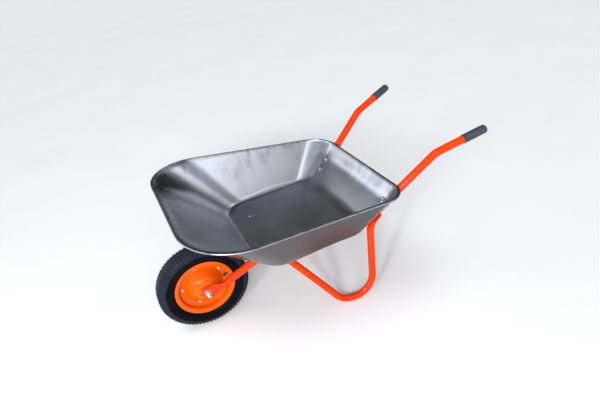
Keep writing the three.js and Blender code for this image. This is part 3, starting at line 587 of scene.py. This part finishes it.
def make_legs():
    floor_seat, floor_axis, _ = TRAY_BOLTS["floor"]
    lower_seat, lower_axis, _ = TRAY_BOLTS["rear_lower"]
    drop = TUBE_OFFSET + TUBE_R + GAP + LEG_R
    front = floor_seat - floor_axis * drop
    rear = lower_seat - lower_axis * drop
    foot_rear_x = lower_seat.x - WALL_NORMAL.x * TUBE_OFFSET + FOOT_AHEAD_OF_BOLT
    foot = Vector((foot_rear_x + FOOT_LENGTH, FOOT_SIDE, LEG_R))
    normal = (foot - front).cross(rear - front).normalized()

    def in_plane(x, z):
        return Vector((x, front.y - (normal.x * (x - front.x) + normal.z * (z - front.z)) / normal.y, z))

    def along_plate(reach):
        return in_plane(rear.x - ALONG_WALL.x * reach, rear.z - ALONG_WALL.z * reach)

    corners = [
        (in_plane(front.x + PLATE_REACH, front.z), 0),
        (in_plane(front.x - LEG_FRONT_RUN, front.z), LEG_FRONT_BEND_R),
        (foot, FOOT_FRONT_BEND_R),
        (in_plane(foot_rear_x, LEG_R), FOOT_REAR_BEND_R),
        (along_plate(LEG_REAR_RUN), LEG_REAR_BEND_R),
        (along_plate(-PLATE_REACH), 0),
    ]
    flat_end = 2 * PLATE_REACH
    turns_round = 2.6 * LEG_R

    def plate(s, total):
        flat = 1 - smoothstep(min(s, total - s), flat_end, flat_end + turns_round)
        return flat, (floor_axis if s < total / 2 else lower_axis)

    lift = LEG_R - PLATE_THICK / 2
    path = bent_path(corners, 4.0)
    points, faces = swept_tube(path, LEG_R, TUBE_WALL, normal, plate, lift, tip=11.0)
    pair("leg_tube", points, faces, "frame", FRAME_PAINT, "frame_paint", "leg")


def make_grips():
    end = on_tube(GRIP_END_X, GRIP_END_Z)
    out = (end - on_tube(HANDLE_X, HANDLE_Z)).normalized()
    bore = TUBE_R + GAP
    outer = bore + GRIP_WALL - GRIP_SKIN
    mouth = -GRIP_LENGTH
    profile = [(0, GAP), (bore - 1, GAP), (bore, GAP - 1), (bore, mouth + 0.6), (bore + 0.5, mouth)]
    collar = outer + GRIP_COLLAR
    profile += [(collar - 0.8, mouth), (collar, mouth + 0.8), (collar, mouth + 3.4)]
    profile += [(collar - 0.4, mouth + 4.2), (outer - 0.5, mouth + 5)]
    groove, count, pitch = 0.45, 9, 6.2
    for k in range(count):  # shallow rings for the fingers
        h = mouth + 9 + k * pitch
        profile += [(outer - 0.1, h), (outer, h + 0.6), (outer, h + pitch - 1.8)]
        profile += [(outer - 0.1, h + pitch - 1.2), (outer - groove, h + pitch - 0.6)]
    dome_steps = 14
    for k in range(dome_steps + 1):
        a = k / dome_steps * math.pi / 2
        profile.append(((outer - 0.05) * math.cos(a), GAP + outer * 0.77 * math.sin(a)))
    points, faces = turned(profile, end, out, 56)
    pair("hand_grip", points, faces, "frame", GRIP_RUBBER, "grip_rubber", "grip", sharp_deg=60)


# ---------------------------------------------------------------- tray


def rounded_outline(corners, arc_steps, edge_steps):
    """A closed outline of straight edges and round corners. corners are (point, radius)."""
    count = len(corners)
    arcs = []
    for i, (p, r) in enumerate(corners):
        a = (p - corners[i - 1][0]).normalized()
        b = (corners[(i + 1) % count][0] - p).normalized()
        cross = a.x * b.y - a.y * b.x
        half = math.acos(max(-1, min(1, a.dot(b)))) / 2
        sign = math.copysign(1, cross)
        start = p - a * (r * math.tan(half))
        centre = start + Vector((-a.y, a.x)) * (sign * r)
        spoke = start - centre
        arc = []
        for k in range(arc_steps + 1):
            turn = sign * 2 * half * k / arc_steps
            c, s = math.cos(turn), math.sin(turn)
            arc.append(centre + Vector((spoke.x * c - spoke.y * s, spoke.x * s + spoke.y * c)))
        arcs.append(arc)
    outline = []
    for i, arc in enumerate(arcs):
        outline += arc
        following = arcs[(i + 1) % count][0]
        outline += [arc[-1].lerp(following, k / edge_steps[i]) for k in range(1, edge_steps[i])]
    return outline


def tray_outline(front_x, rear_x, front_half, rear_half, front_corner, rear_corner):
    corners = [
        (Vector((front_x, front_half)), front_corner),
        (Vector((rear_x, rear_half)), rear_corner),
        (Vector((rear_x, -rear_half)), rear_corner),
        (Vector((front_x, -front_half)), front_corner),
    ]
    return rounded_outline(corners, 16, [24, 20, 24, 24])


def rim_z(x):
    return lerp(RIM_REAR.z, RIM_FRONT.z, (x - RIM_REAR.x) / (RIM_FRONT.x - RIM_REAR.x))


def lip_profile():
    """(out, up) points from the top of the wall over the lip and round its rolled edge."""
    points = [(0, 0)]
    bend = 3.6
    for k in range(1, 6):  # from the wall to the level flange
        a = k / 5 * math.pi / 2
        points.append((bend * (1 - math.cos(a)), bend * math.sin(a) * 0.65))
    centre_x, centre_z = LIP_WIDTH - BEAD_R - 0.3, 1.5 - BEAD_R
    points.append((lerp(bend, centre_x, 0.5), 1.5))
    for k in range(15):
        a = math.pi / 2 - k / 14 * math.radians(285)
        points.append((centre_x + BEAD_R * math.cos(a), centre_z + BEAD_R * math.sin(a)))
    return points


def tray_profile(floor_point, rim_point, outward):
    """One strip of the tray's inside, from the floor's edge up the wall and over the lip."""
    foot = Vector((floor_point.x, floor_point.y, FLOOR_Z))
    top = Vector((rim_point.x, rim_point.y, rim_z(rim_point.x)))
    level = Vector((top.x - foot.x, top.y - foot.y, 0)).normalized()
    rear = smoothstep(-outward.x, 0.55, 0.98)
    chord = (top - foot).normalized()
    out_of_wall = level * chord.z - Vector((0, 0, math.hypot(chord.x, chord.y)))
    straight = LOWER_BOLT_ALONG + REAR_BOLT_SPACING + BOLT_HEAD_D
    sag = LIP_KICK * straight / (top - foot).length * rear
    knee = foot + chord * straight + out_of_wall * sag
    up = (knee - foot).normalized()
    fold_r = lerp(FOLD_R, REAR_FOLD_R, rear)
    fold_angle = math.acos(max(-1, min(1, up.dot(level))))
    centre = foot - level * (fold_r * math.tan(fold_angle / 2)) + Vector((0, 0, fold_r))
    points = []
    fold_steps = 8
    for k in range(fold_steps + 1):
        a = fold_angle * k / fold_steps
        points.append(centre + level * (fold_r * math.sin(a)) - Vector((0, 0, fold_r * math.cos(a))))
    bend_start, bend_end = knee.lerp(foot, 0.12), knee.lerp(top, 0.3)
    wall_start = points[-1]
    wall_steps = 12
    points += [wall_start.lerp(bend_start, k / wall_steps) for k in range(1, wall_steps + 1)]
    for k in range(1, 6):
        t = k / 5
        points.append(bend_start * (1 - t) ** 2 + knee * (2 * t * (1 - t)) + bend_end * t ** 2)
    points += [bend_end.lerp(top, k / 5) for k in range(1, 5)]
    out = Vector((outward.x, outward.y, 0))
    points += [top + out * x + Vector((0, 0, z)) for x, z in lip_profile()]
    return points


def make_tray():
    floor = tray_outline(
        FLOOR_FRONT_X, FLOOR_REAR_X,
        FLOOR_HALF_WIDTH, FLOOR_HALF_WIDTH,
        FLOOR_CORNER_FRONT, FLOOR_CORNER_REAR,
    )
    rim = tray_outline(
        RIM_FRONT.x, RIM_REAR.x,
        RIM_HALF_WIDTH_FRONT, RIM_HALF_WIDTH_REAR,
        RIM_CORNER_FRONT, RIM_CORNER_REAR,
    )
    count = len(rim)
    strips = []
    for i in range(count):
        edge = (rim[(i + 1) % count] - rim[i - 1]).normalized()
        strips.append(tray_profile(floor[i], rim[i], Vector((edge.y, -edge.x))))
    middle = sum((s[0] for s in strips), Vector()) / count
    rings = 14
    rows = []
    for strip in strips:
        inner = [middle.lerp(strip[0], 0.04 + 0.96 * k / rings) for k in range(rings)]
        rows.append(inner + strip)
    columns = len(rows[0])
    points = [p for row in rows for p in row] + [middle]
    faces = quads(count, columns, True, False)
    faces += [(count * columns, i * columns, ((i + 1) % count) * columns) for i in range(count)]
    tray = piece("tray_sheet", points, faces, "frame", GALVANISED, "galvanised", ["tray"], sharp_deg=70)
    press_bolt_rings(tray, place(middle))
    thick = tray.modifiers.new("sheet", "SOLIDIFY")
    thick.thickness = SHEET * MM
    thick.offset = -1
    thick.use_even_offset = True


def press_bolt_rings(tray, middle):
    """Raises a ring round each bolt's head, and turns the faces' fronts to the tray's inside."""
    bm = bmesh.new()
    bm.from_mesh(tray.data)
    for seat, axis, _ in TRAY_BOLTS.values():
        for sign in (1, -1):
            centre = place((seat.x, sign * seat.y, seat.z))
            for reach in (2.6, 2.2):  # finer near the bolt
                near = [v for v in bm.verts if (v.co - centre).length < reach * DIMPLE_R * MM]
                found = set(near)
                edges = [e for e in bm.edges if e.verts[0] in found or e.verts[1] in found]
                bmesh.ops.subdivide_edges(bm, edges=edges, cuts=2, use_grid_fill=True)
            for v in bm.verts:
                offset = v.co - centre
                d = (offset - axis * offset.dot(axis)).length / MM
                if abs(offset.dot(axis)) < 0.01 and d < 2 * DIMPLE_R:
                    ridge = math.exp(-(((d - DIMPLE_R) / 2.6) ** 2))
                    v.co += axis * (DIMPLE_RISE * ridge * MM)
    inside = next(f for f in bm.faces if (f.calc_center_median() - middle).length < 0.05)
    if inside.normal.z < 0:
        bmesh.ops.reverse_faces(bm, faces=bm.faces)
    for face in bm.faces:
        face.smooth = True
    bm.to_mesh(tray.data)
    bm.free()


# ---------------------------------------------------------------- bolts through the tray


def make_tray_fasteners():
    shank = BOLT_D / 2
    head = BOLT_HEAD_D / 2
    nut_height = BOLT_D * 0.8
    for name, (seat, axis, holds_leg) in TRAY_BOLTS.items():
        depth = TUBE_OFFSET + TUBE_R + GAP + (PLATE_THICK + GAP if holds_leg else 0)
        washer_at = seat - axis * (depth + WASHER_THICK)
        nut_at = washer_at - axis * (GAP + nut_height)
        end = -(depth + WASHER_THICK + 2 * GAP + nut_height + THREAD_BEYOND_NUT)
        profile = [(0, end), (shank - 0.8, end)] + threads(shank, end + 0.8, end + 20) + [(shank, end + 21)]
        profile += [(shank, GAP), (head - 0.4, GAP), (head, GAP + 0.5)]
        for k in range(1, 9):
            a = k / 8 * math.pi / 2
            profile.append((head * math.cos(a), GAP + 0.5 + (BOLT_HEAD_HEIGHT - GAP - 0.5) * math.sin(a)))
        points, faces = turned(profile, seat, axis, 32)
        pair(f"{name}_dome_bolt", points, faces, "frame", ZINC, "zinc", f"{name}_bolt", sharp_deg=50)
        washer = ring_profile(shank + 0.25, BOLT_D, 0, WASHER_THICK, 0.25)
        points, faces = turned(washer, washer_at, axis, 40, True)
        pair(f"{name}_flat_washer", points, faces, "frame", ZINC, "zinc", f"{name}_washer")
        points, faces = hex_nut(nut_at, axis, BOLT_D, nut_height)
        pair(f"{name}_hex_nut", points, faces, "frame", ZINC, "zinc", f"{name}_nut")


# ---------------------------------------------------------------- wheel

HUB = Vector((0, 0, TYRE_R))
LEFT = Vector((0, 1, 0))


def tread_cut(side, r, angle, deep):
    """How far the tread is cut in at a place: between the bars, and in the three grooves round the tyre."""
    cut = TREAD_DEPTH * deep * smoothstep(side, 13.5, 15) * smoothstep(r, TREAD_START_R, TREAD_FULL_R)
    if r > TREAD_CROWN_R:
        zigzag = 12 + 1.6 * math.cos(angle * TREAD_PITCHES / 2)
        cut = max(cut, TREAD_DEPTH * math.exp(-(((side - zigzag) / 1.5) ** 4)))
        cut = max(cut, TREAD_DEPTH * math.exp(-((side / 1.3) ** 4)))
    return cut


def sidewall_ridges(r):
    """How far the moulded rings on the sidewall stand out."""
    if r >= TREAD_START_R - 0.5:
        return 0.0
    outer = 1.6 * math.exp(-((r - SIDEWALL_RIDGE_R) ** 2))
    return outer + 0.8 * math.exp(-(((r - BEAD_RIDGE_R) / 1.4) ** 2))


def make_tyre():
    toe = VALVE_OFFSET + VALVE_D / 2 + 1
    clear = FLANGE_HALF_WIDTH - RIM_SHEET - GAP - 1.6
    control = [
        (FLANGE_R, clear), (123, 30.5), (130, 35.4), (139, 38.3), (148, TYRE_HALF_WIDTH), (157, 37.4),
        (165, 33.2), (171.3, 26.8), (175.2, 18.5), (177.2, 9.5), (TYRE_R, 0),
    ]
    crown = catmull([Vector((y, r)) for r, y in control], 7)
    seat = BEAD_SEAT_R + GAP
    bead = [Vector((toe, seat)), Vector((clear - 4, seat)), Vector((clear - 1, BEAD_SEAT_R + 5))]
    half = bead + crown
    outer = half + [Vector((-p.x, p.y)) for p in reversed(half[:-1])]
    inner_half = [
        Vector((0, TYRE_R - 7)), Vector((15, TYRE_R - 9)), Vector((28, 161)), Vector((32.5, 148)),
        Vector((31, 133)), Vector((clear - 3.4, FLANGE_R + 3)), Vector((toe + 1.5, BEAD_SEAT_R + 6)),
    ]
    inner = [Vector((-p.x, p.y)) for p in reversed(inner_half[1:])] + inner_half
    profile = outer + inner
    skin = len(outer)
    normals = []
    for i, p in enumerate(outer):
        d = (outer[min(i + 1, skin - 1)] - outer[max(i - 1, 0)]).normalized()
        normals.append(Vector((-d.y, d.x)) if p.x else Vector((0, 1)))
    # one tread pitch: a land, a slope down, the groove's floor and a slope up
    shares = [(0.0, 0), (0.2, 0), (0.4, 0), (0.58, 0), (0.66, 1), (0.78, 1), (0.90, 1), (0.97, 0.2)]
    points = []
    for pitch in range(TREAD_PITCHES):
        for share, deep in shares:
            angle = 2 * math.pi * (pitch + share) / TREAD_PITCHES
            for i, p in enumerate(profile):
                x, r = p.x, p.y
                if i < skin:
                    stands = sidewall_ridges(r) - tread_cut(abs(x), r, angle, deep)
                    r += normals[i].y * stands
                    x += normals[i].x * stands
                r = min(r, TYRE_R)
                x = max(-TYRE_HALF_WIDTH, min(TYRE_HALF_WIDTH, x))
                points.append(Vector((r * math.sin(angle), x, TYRE_R + r * math.cos(angle))))
    faces = quads(TREAD_PITCHES * len(shares), len(profile), True, True)
    piece("tyre_cover", points, faces, "wheel", TYRE_RUBBER, "tyre", ["tyre"], sharp_deg=30)


def sheet_profile(line, thickness):
    """The closed outline of a bent strip of sheet, from its middle line."""
    sides = []
    for sign in (1, -1):
        side = []
        for i, p in enumerate(line):
            d = (line[min(i + 1, len(line) - 1)] - line[max(i - 1, 0)]).normalized()
            side.append(p + Vector((d.y, -d.x)) * (sign * thickness / 2))
        sides.append(side)
    return [(p.x, p.y) for p in sides[0] + sides[1][::-1]]


def make_rims():
    half_sheet = RIM_SHEET / 2
    cup = BEARING_D / 2 + GAP + half_sheet
    ring_y = GAP / 2 + half_sheet
    seat = BEAD_SEAT_R - half_sheet
    hub = HUB_HALF_WIDTH
    circle = RIM_BOLT_CIRCLE_R
    control = [
        (cup, hub - BEARING_WIDTH), (cup, hub - 5), (cup, hub - 2.2),
        (cup + 1.3, hub - 0.8), (cup + 4.5, hub - 0.7),
        (circle * 0.34, hub - 2.2), (circle * 0.42, hub * 0.91), (circle * 0.6, hub * 0.69),
        (circle * 0.76, hub * 0.37), (circle - 12, 7.4), (circle - 8, 2.4), (circle - 4.5, ring_y),
        (circle + 4, ring_y), (circle + 8.5, ring_y + 1.0),
        (seat - 4, ring_y + 2.8), (seat - 0.8, ring_y + 6),
        (seat, ring_y + 10), (seat, FLANGE_HALF_WIDTH - 9), (seat + 0.8, FLANGE_HALF_WIDTH - 5),
        (seat + 3.6, FLANGE_HALF_WIDTH - 2.2), (seat + 8, FLANGE_HALF_WIDTH - 1.2),
        (FLANGE_R - 3.4, FLANGE_HALF_WIDTH - 0.6), (FLANGE_R - 0.9, FLANGE_HALF_WIDTH - 0.1),
    ]
    line = catmull([Vector(c) for c in control], 5)
    profile = sheet_profile(line, RIM_SHEET)
    points, faces = turned(profile, HUB, LEFT, 128, True)
    pair("rim_disc", points, faces, "wheel", RIM_PAINT, "rim_paint", "rim_half", sharp_deg=50)


def make_rim_bolts():
    out = RIM_SHEET + GAP / 2
    shank = RIM_BOLT_D / 2
    head = RIM_BOLT_D * 1.1
    nut_height = RIM_BOLT_D * 0.8
    nut_y = -(out + GAP + nut_height)
    end = nut_y - 2 * GAP - 2
    for k in range(RIM_BOLT_COUNT):
        angle = math.radians(RIM_BOLT_START_DEG + 360 * k / RIM_BOLT_COUNT)
        foot = HUB + Vector((math.cos(angle), 0, math.sin(angle))) * RIM_BOLT_CIRCLE_R
        profile = [(0, end), (shank - 0.5, end)] + threads(shank, end + 0.5, -out, 1.0, 0.5)
        profile += [(shank, out + GAP), (head - 0.3, out + GAP), (head, out + GAP + 0.4)]
        for step in range(1, 7):
            a = step / 6 * math.pi / 2
            profile.append((head * math.cos(a), out + GAP + 0.4 + 3.0 * math.sin(a)))
        points, faces = turned(profile, foot, LEFT, 28)
        node = f"rim_bolt_{k + 1}"
        piece(f"rim_dome_bolt_{k + 1}", points, faces, "wheel", ZINC, "zinc", [node], sharp_deg=50)
        points, faces = hex_nut(foot + LEFT * nut_y, LEFT, RIM_BOLT_D, nut_height)
        piece(f"rim_hex_nut_{k + 1}", points, faces, "wheel", ZINC, "zinc", [f"rim_nut_{k + 1}"])


def make_valve():
    angle = math.radians(VALVE_DEG)
    axis = Vector((math.cos(angle), 0, math.sin(angle)))
    origin = HUB + LEFT * VALVE_OFFSET
    inner = BEAD_SEAT_R - VALVE_LENGTH
    stem_end = inner + 7
    r = VALVE_D / 2
    neck = r * 0.6
    stem = [(0, inner + 3), (neck - 0.3, inner + 3)] + threads(neck, inner + 3.4, stem_end + 2, 0.9, 0.35)
    stem += [(neck, stem_end + 3), (r * 0.85, stem_end + 3)]
    stem += [(r * 0.9, stem_end + 4), (r * 0.9, BEAD_SEAT_R - 5)]
    stem += [(r, BEAD_SEAT_R - 3.4), (r, BEAD_SEAT_R + 18), (0, BEAD_SEAT_R + 18)]
    points, faces = turned(stem, origin, axis, 32)
    piece("valve_stem_body", points, faces, "wheel", VALVE_RUBBER, "valve_rubber", ["valve_stem"])
    top, cap_r = stem_end + 3 - GAP, r * 0.95
    bore = neck + GAP
    cap = [(0, inner), (cap_r - 1, inner), (cap_r - 0.3, inner + 0.4), (cap_r, inner + 1.2)]
    cap += [(cap_r, top - 0.5), (cap_r - 0.4, top)]
    cap += [(bore, top), (bore, inner + 3 - GAP), (0, inner + 3 - GAP)]

    def knurl(turn, radius, _):
        return radius - (0.25 if radius > cap_r - 0.5 and math.cos(turn * 16) < 0 else 0)

    points, faces = turned(cap, origin, axis, 64, False, knurl)
    piece("valve_dust_cap", points, faces, "wheel", VALVE_RUBBER, "valve_rubber", ["valve_cap"])


def make_bearings():
    outer, bore = BEARING_D / 2, AXLE_D / 2 + GAP
    high = HUB_HALF_WIDTH
    low = high - BEARING_WIDTH
    rings = {
        "outer": (outer - RACE_WALL, outer, low, high, "wheel"),
        "inner": (bore, bore + RACE_WALL, low, high, "frame"),
    }
    for name, (r0, r1, y0, y1, body) in rings.items():
        points, faces = turned(ring_profile(r0, r1, y0, y1, 0.5), HUB, LEFT, 72, True)
        pair(f"bearing_{name}_race", points, faces, body, BEARING_STEEL, "bearing_steel", f"bearing_{name}")
    r0, r1 = bore + RACE_WALL + GAP, outer - RACE_WALL - GAP
    y0, y1 = low + 1.5, high - 1.5
    shield = [(r0, y0), (r1, y0), (r1, y1), (r1 - 0.9, y1), (r1 - 1.4, y1 - 0.7)]
    shield += [(r0 + 1.2, y1 - 0.7), (r0 + 0.7, y1), (r0, y1)]
    points, faces = turned(shield, HUB, LEFT, 72, True)
    pair("bearing_shield", points, faces, "wheel", BEARING_STEEL, "bearing_steel", "bearing_cage")


def make_axle():
    bore = AXLE_D / 2 + GAP
    lug_half = TUBE_WALL + GAP / 2
    lug_out, lug_in = LUG_Y + lug_half, LUG_Y - lug_half
    spacer = ring_profile(bore, bore + RACE_WALL, HUB_HALF_WIDTH + GAP, lug_in - GAP, 0.5)
    points, faces = turned(spacer, HUB, LEFT, 56, True)
    pair("axle_spacer_sleeve", points, faces, "frame", ZINC, "zinc", "axle_spacer")
    washer = ring_profile(bore, AXLE_D, lug_out + GAP, lug_out + GAP + AXLE_WASHER, 0.35)
    points, faces = turned(washer, HUB, LEFT, 56, True)
    pair("axle_flat_washer", points, faces, "frame", ZINC, "zinc", "axle_washer")
    seat = lug_out + 2 * GAP + AXLE_WASHER
    nut_height, head_height = AXLE_D * 0.8, AXLE_D * 0.65
    points, faces = hex_nut(HUB + LEFT * (seat + GAP), LEFT, AXLE_D, nut_height)
    piece("axle_hex_nut", points, faces, "frame", ZINC, "zinc", ["axle_nut"])
    r = AXLE_D / 2
    end = seat + nut_height + AXLE_BEYOND_NUT + GAP
    top = -(seat + head_height)
    half = AXLE_D * 0.94 * math.cos(math.pi / 6)
    head = [(0, top + 0.3), (half * 0.7, top + 0.3), (half * 0.78, top)]
    head += [(half, top + h) for h in (0, 0.3, 0.6, 1.0, 1.6)] + [(half, -seat)]
    shaft = [(r, -seat), (r, lug_in)] + threads(r, lug_in + 1, end - 1, 1.75, 0.9)
    shaft += [(r - 1.1, end), (0, end)]
    one_sided = hexagon(2 * half, top, top + 100)  # no chamfer under the head
    points, faces = turned(head + shaft, HUB, LEFT, 72, False, one_sided)
    piece("axle_hex_bolt", points, faces, "frame", ZINC, "zinc", ["axle_bolt"])


make_frame_tubes()
make_legs()
make_grips()
make_tray()
make_tray_fasteners()
make_tyre()
make_rims()
make_rim_bolts()
make_valve()
make_bearings()
make_axle()

# The inner tube and the hub's sleeve are closed in, and keep their CAD shape.
for node, material in (("inner_tube", VALVE_RUBBER), ("hub_sleeve", BEARING_STEEL)):
    mesh = frame["nodes"][node].data
    mesh.materials.clear()
    mesh.materials.append(material)

# ---------------------------------------------------------------- floor, light and camera


def make_floor():
    size = 60.0
    mesh = bpy.data.meshes.new("studio_floor")
    corners = [(-size, -size, 0), (size, -size, 0), (size, size, 0), (-size, size, 0)]
    mesh.from_pydata(corners, [], [(0, 1, 2, 3)])
    floor = bpy.data.objects.new("studio_floor", mesh)
    bpy.context.scene.collection.objects.link(floor)
    m = Nodes("studio_floor_paper")
    m.drive(m.colours(m.noise(2, 2), (0.3, (0.91, 0.91, 0.92)), (0.7, (0.93, 0.93, 0.94))), "Base Color")
    m.set(Roughness=0.9, Specular_IOR_Level=0.1)
    mesh.materials.append(m.material)


def sun(name, towards, strength, angle_deg):
    """A soft sun in the direction towards. It lights surfaces but isn't mirrored in them."""
    data = bpy.data.lights.new(name, "SUN")
    data.energy = strength
    data.angle = math.radians(angle_deg)
    lamp = bpy.data.objects.new(name, data)
    lamp.rotation_euler = Vector(towards).to_track_quat("Z", "Y").to_euler()
    lamp.visible_glossy = False
    bpy.context.scene.collection.objects.link(lamp)


def softbox(name, location, target, size, power):
    """A small square lamp for the glints on the paint."""
    data = bpy.data.lights.new(name, "AREA")
    data.size = size
    data.energy = power
    lamp = bpy.data.objects.new(name, data)
    lamp.location = location
    lamp.rotation_euler = (Vector(location) - target).to_track_quat("Z", "Y").to_euler()
    bpy.context.scene.collection.objects.link(lamp)


# Dark patches of the room: the middle, the cosines where it starts and is full, and how much light is left.
DOORWAYS = [
    ((-0.33, -0.77, 0.55), 0.58, 0.74, 0.07),  # mirrored by the tray's floor
    ((-0.54, 0.58, 0.61), 0.90, 0.97, 0.25),  # mirrored by the front wall, by way of the far wall
]


def make_world():
    """A pale room with a bright band above the walls."""
    world = bpy.data.worlds.new("studio_world")
    bpy.context.scene.world = world
    world.use_nodes = True
    tree = world.node_tree
    direction = tree.nodes.new("ShaderNodeTexCoord").outputs["Generated"]
    split = tree.nodes.new("ShaderNodeSeparateXYZ")
    tree.links.new(direction, split.inputs["Vector"])
    ramp = tree.nodes.new("ShaderNodeValToRGB")
    stops = [(0.0, 0.5), (0.32, 0.5), (0.37, 0.9), (0.41, 1.7)]
    stops += [(0.46, 2.8), (0.57, 2.8), (0.66, 0.9), (1.0, 0.38)]
    elements = ramp.color_ramp.elements
    elements[0].position, elements[1].position = stops[0][0], stops[-1][0]
    for position, _ in stops[1:-1]:
        elements.new(position)
    for element, (place_on_ramp, value) in zip(elements, stops):
        cool = 0.05 if place_on_ramp > 0.4 else -0.04
        element.color = (value * (1 - cool), value, value * (1 + cool), 1)
    lean = tree.nodes.new("ShaderNodeMath")  # the band climbs towards the handles
    lean.operation = "MULTIPLY_ADD"
    lean.inputs[1].default_value = 0.25
    tree.links.new(split.outputs["X"], lean.inputs[0])
    tree.links.new(split.outputs["Z"], lean.inputs[2])
    tree.links.new(lean.outputs["Value"], ramp.inputs["Fac"])
    strength = None
    for towards, start, end, shade in DOORWAYS:
        dot = tree.nodes.new("ShaderNodeVectorMath")
        dot.operation = "DOT_PRODUCT"
        dot.inputs[1].default_value = Vector(towards).normalized()
        tree.links.new(direction, dot.inputs[0])
        doorway = tree.nodes.new("ShaderNodeMapRange")
        doorway.interpolation_type = "SMOOTHSTEP"
        doorway.inputs["From Min"].default_value = start
        doorway.inputs["From Max"].default_value = end
        doorway.inputs["To Min"].default_value = 1.0
        doorway.inputs["To Max"].default_value = shade
        tree.links.new(dot.outputs["Value"], doorway.inputs["Value"])
        if strength is None:
            strength = doorway.outputs["Result"]
        else:
            both = tree.nodes.new("ShaderNodeMath")
            both.operation = "MULTIPLY"
            tree.links.new(strength, both.inputs[0])
            tree.links.new(doorway.outputs["Result"], both.inputs[1])
            strength = both.outputs["Value"]
    background = tree.nodes["Background"]
    tree.links.new(ramp.outputs["Color"], background.inputs["Color"])
    tree.links.new(strength, background.inputs["Strength"])
    backdrop = tree.nodes.new("ShaderNodeBackground")  # what shows behind the floor's far edge
    backdrop.inputs["Color"].default_value = (0.84, 0.85, 0.86, 1)
    either = tree.nodes.new("ShaderNodeMixShader")
    tree.links.new(tree.nodes.new("ShaderNodeLightPath").outputs["Is Camera Ray"], either.inputs[0])
    tree.links.new(background.outputs["Background"], either.inputs[1])
    tree.links.new(backdrop.outputs["Background"], either.inputs[2])
    tree.links.new(either.outputs["Shader"], tree.nodes["World Output"].inputs["Surface"])


def make_camera():
    """Ahead, to the left and above, turned a little on its side."""
    azimuth, elevation, roll = (math.radians(deg) for deg in (68.602, 31.944, 9.146))
    level = math.cos(elevation)
    forward = -Vector((level * math.cos(azimuth), level * math.sin(azimuth), math.sin(elevation)))
    level_right = forward.cross(Vector((0, 0, 1))).normalized()
    right = Matrix.Rotation(-roll, 3, -forward) @ level_right
    up = right.cross(forward)
    data = bpy.data.cameras.new("camera")
    data.lens = 28.56
    data.sensor_width = 36
    camera = bpy.data.objects.new("camera", data)
    turn = Matrix((right, up, -forward)).transposed().to_4x4()
    camera.matrix_world = Matrix.Translation(AXLE + Vector((0.1291, 1.4825, 1.1966))) @ turn
    bpy.context.scene.collection.objects.link(camera)
    bpy.context.scene.camera = camera


make_floor()
make_world()
make_camera()
sun("top", (0.35, -0.05, 0.93), 0.8, 35)
sun("front", (0.30, 0.88, 0.38), 0.4, 12)
softbox("window_1", (1.77, 1.82, 1.49), AXLE, 0.30, 26)
softbox("window_2", (1.30, 2.25, 1.58), AXLE, 0.26, 20)
bpy.context.scene.view_settings.view_transform = "Standard"
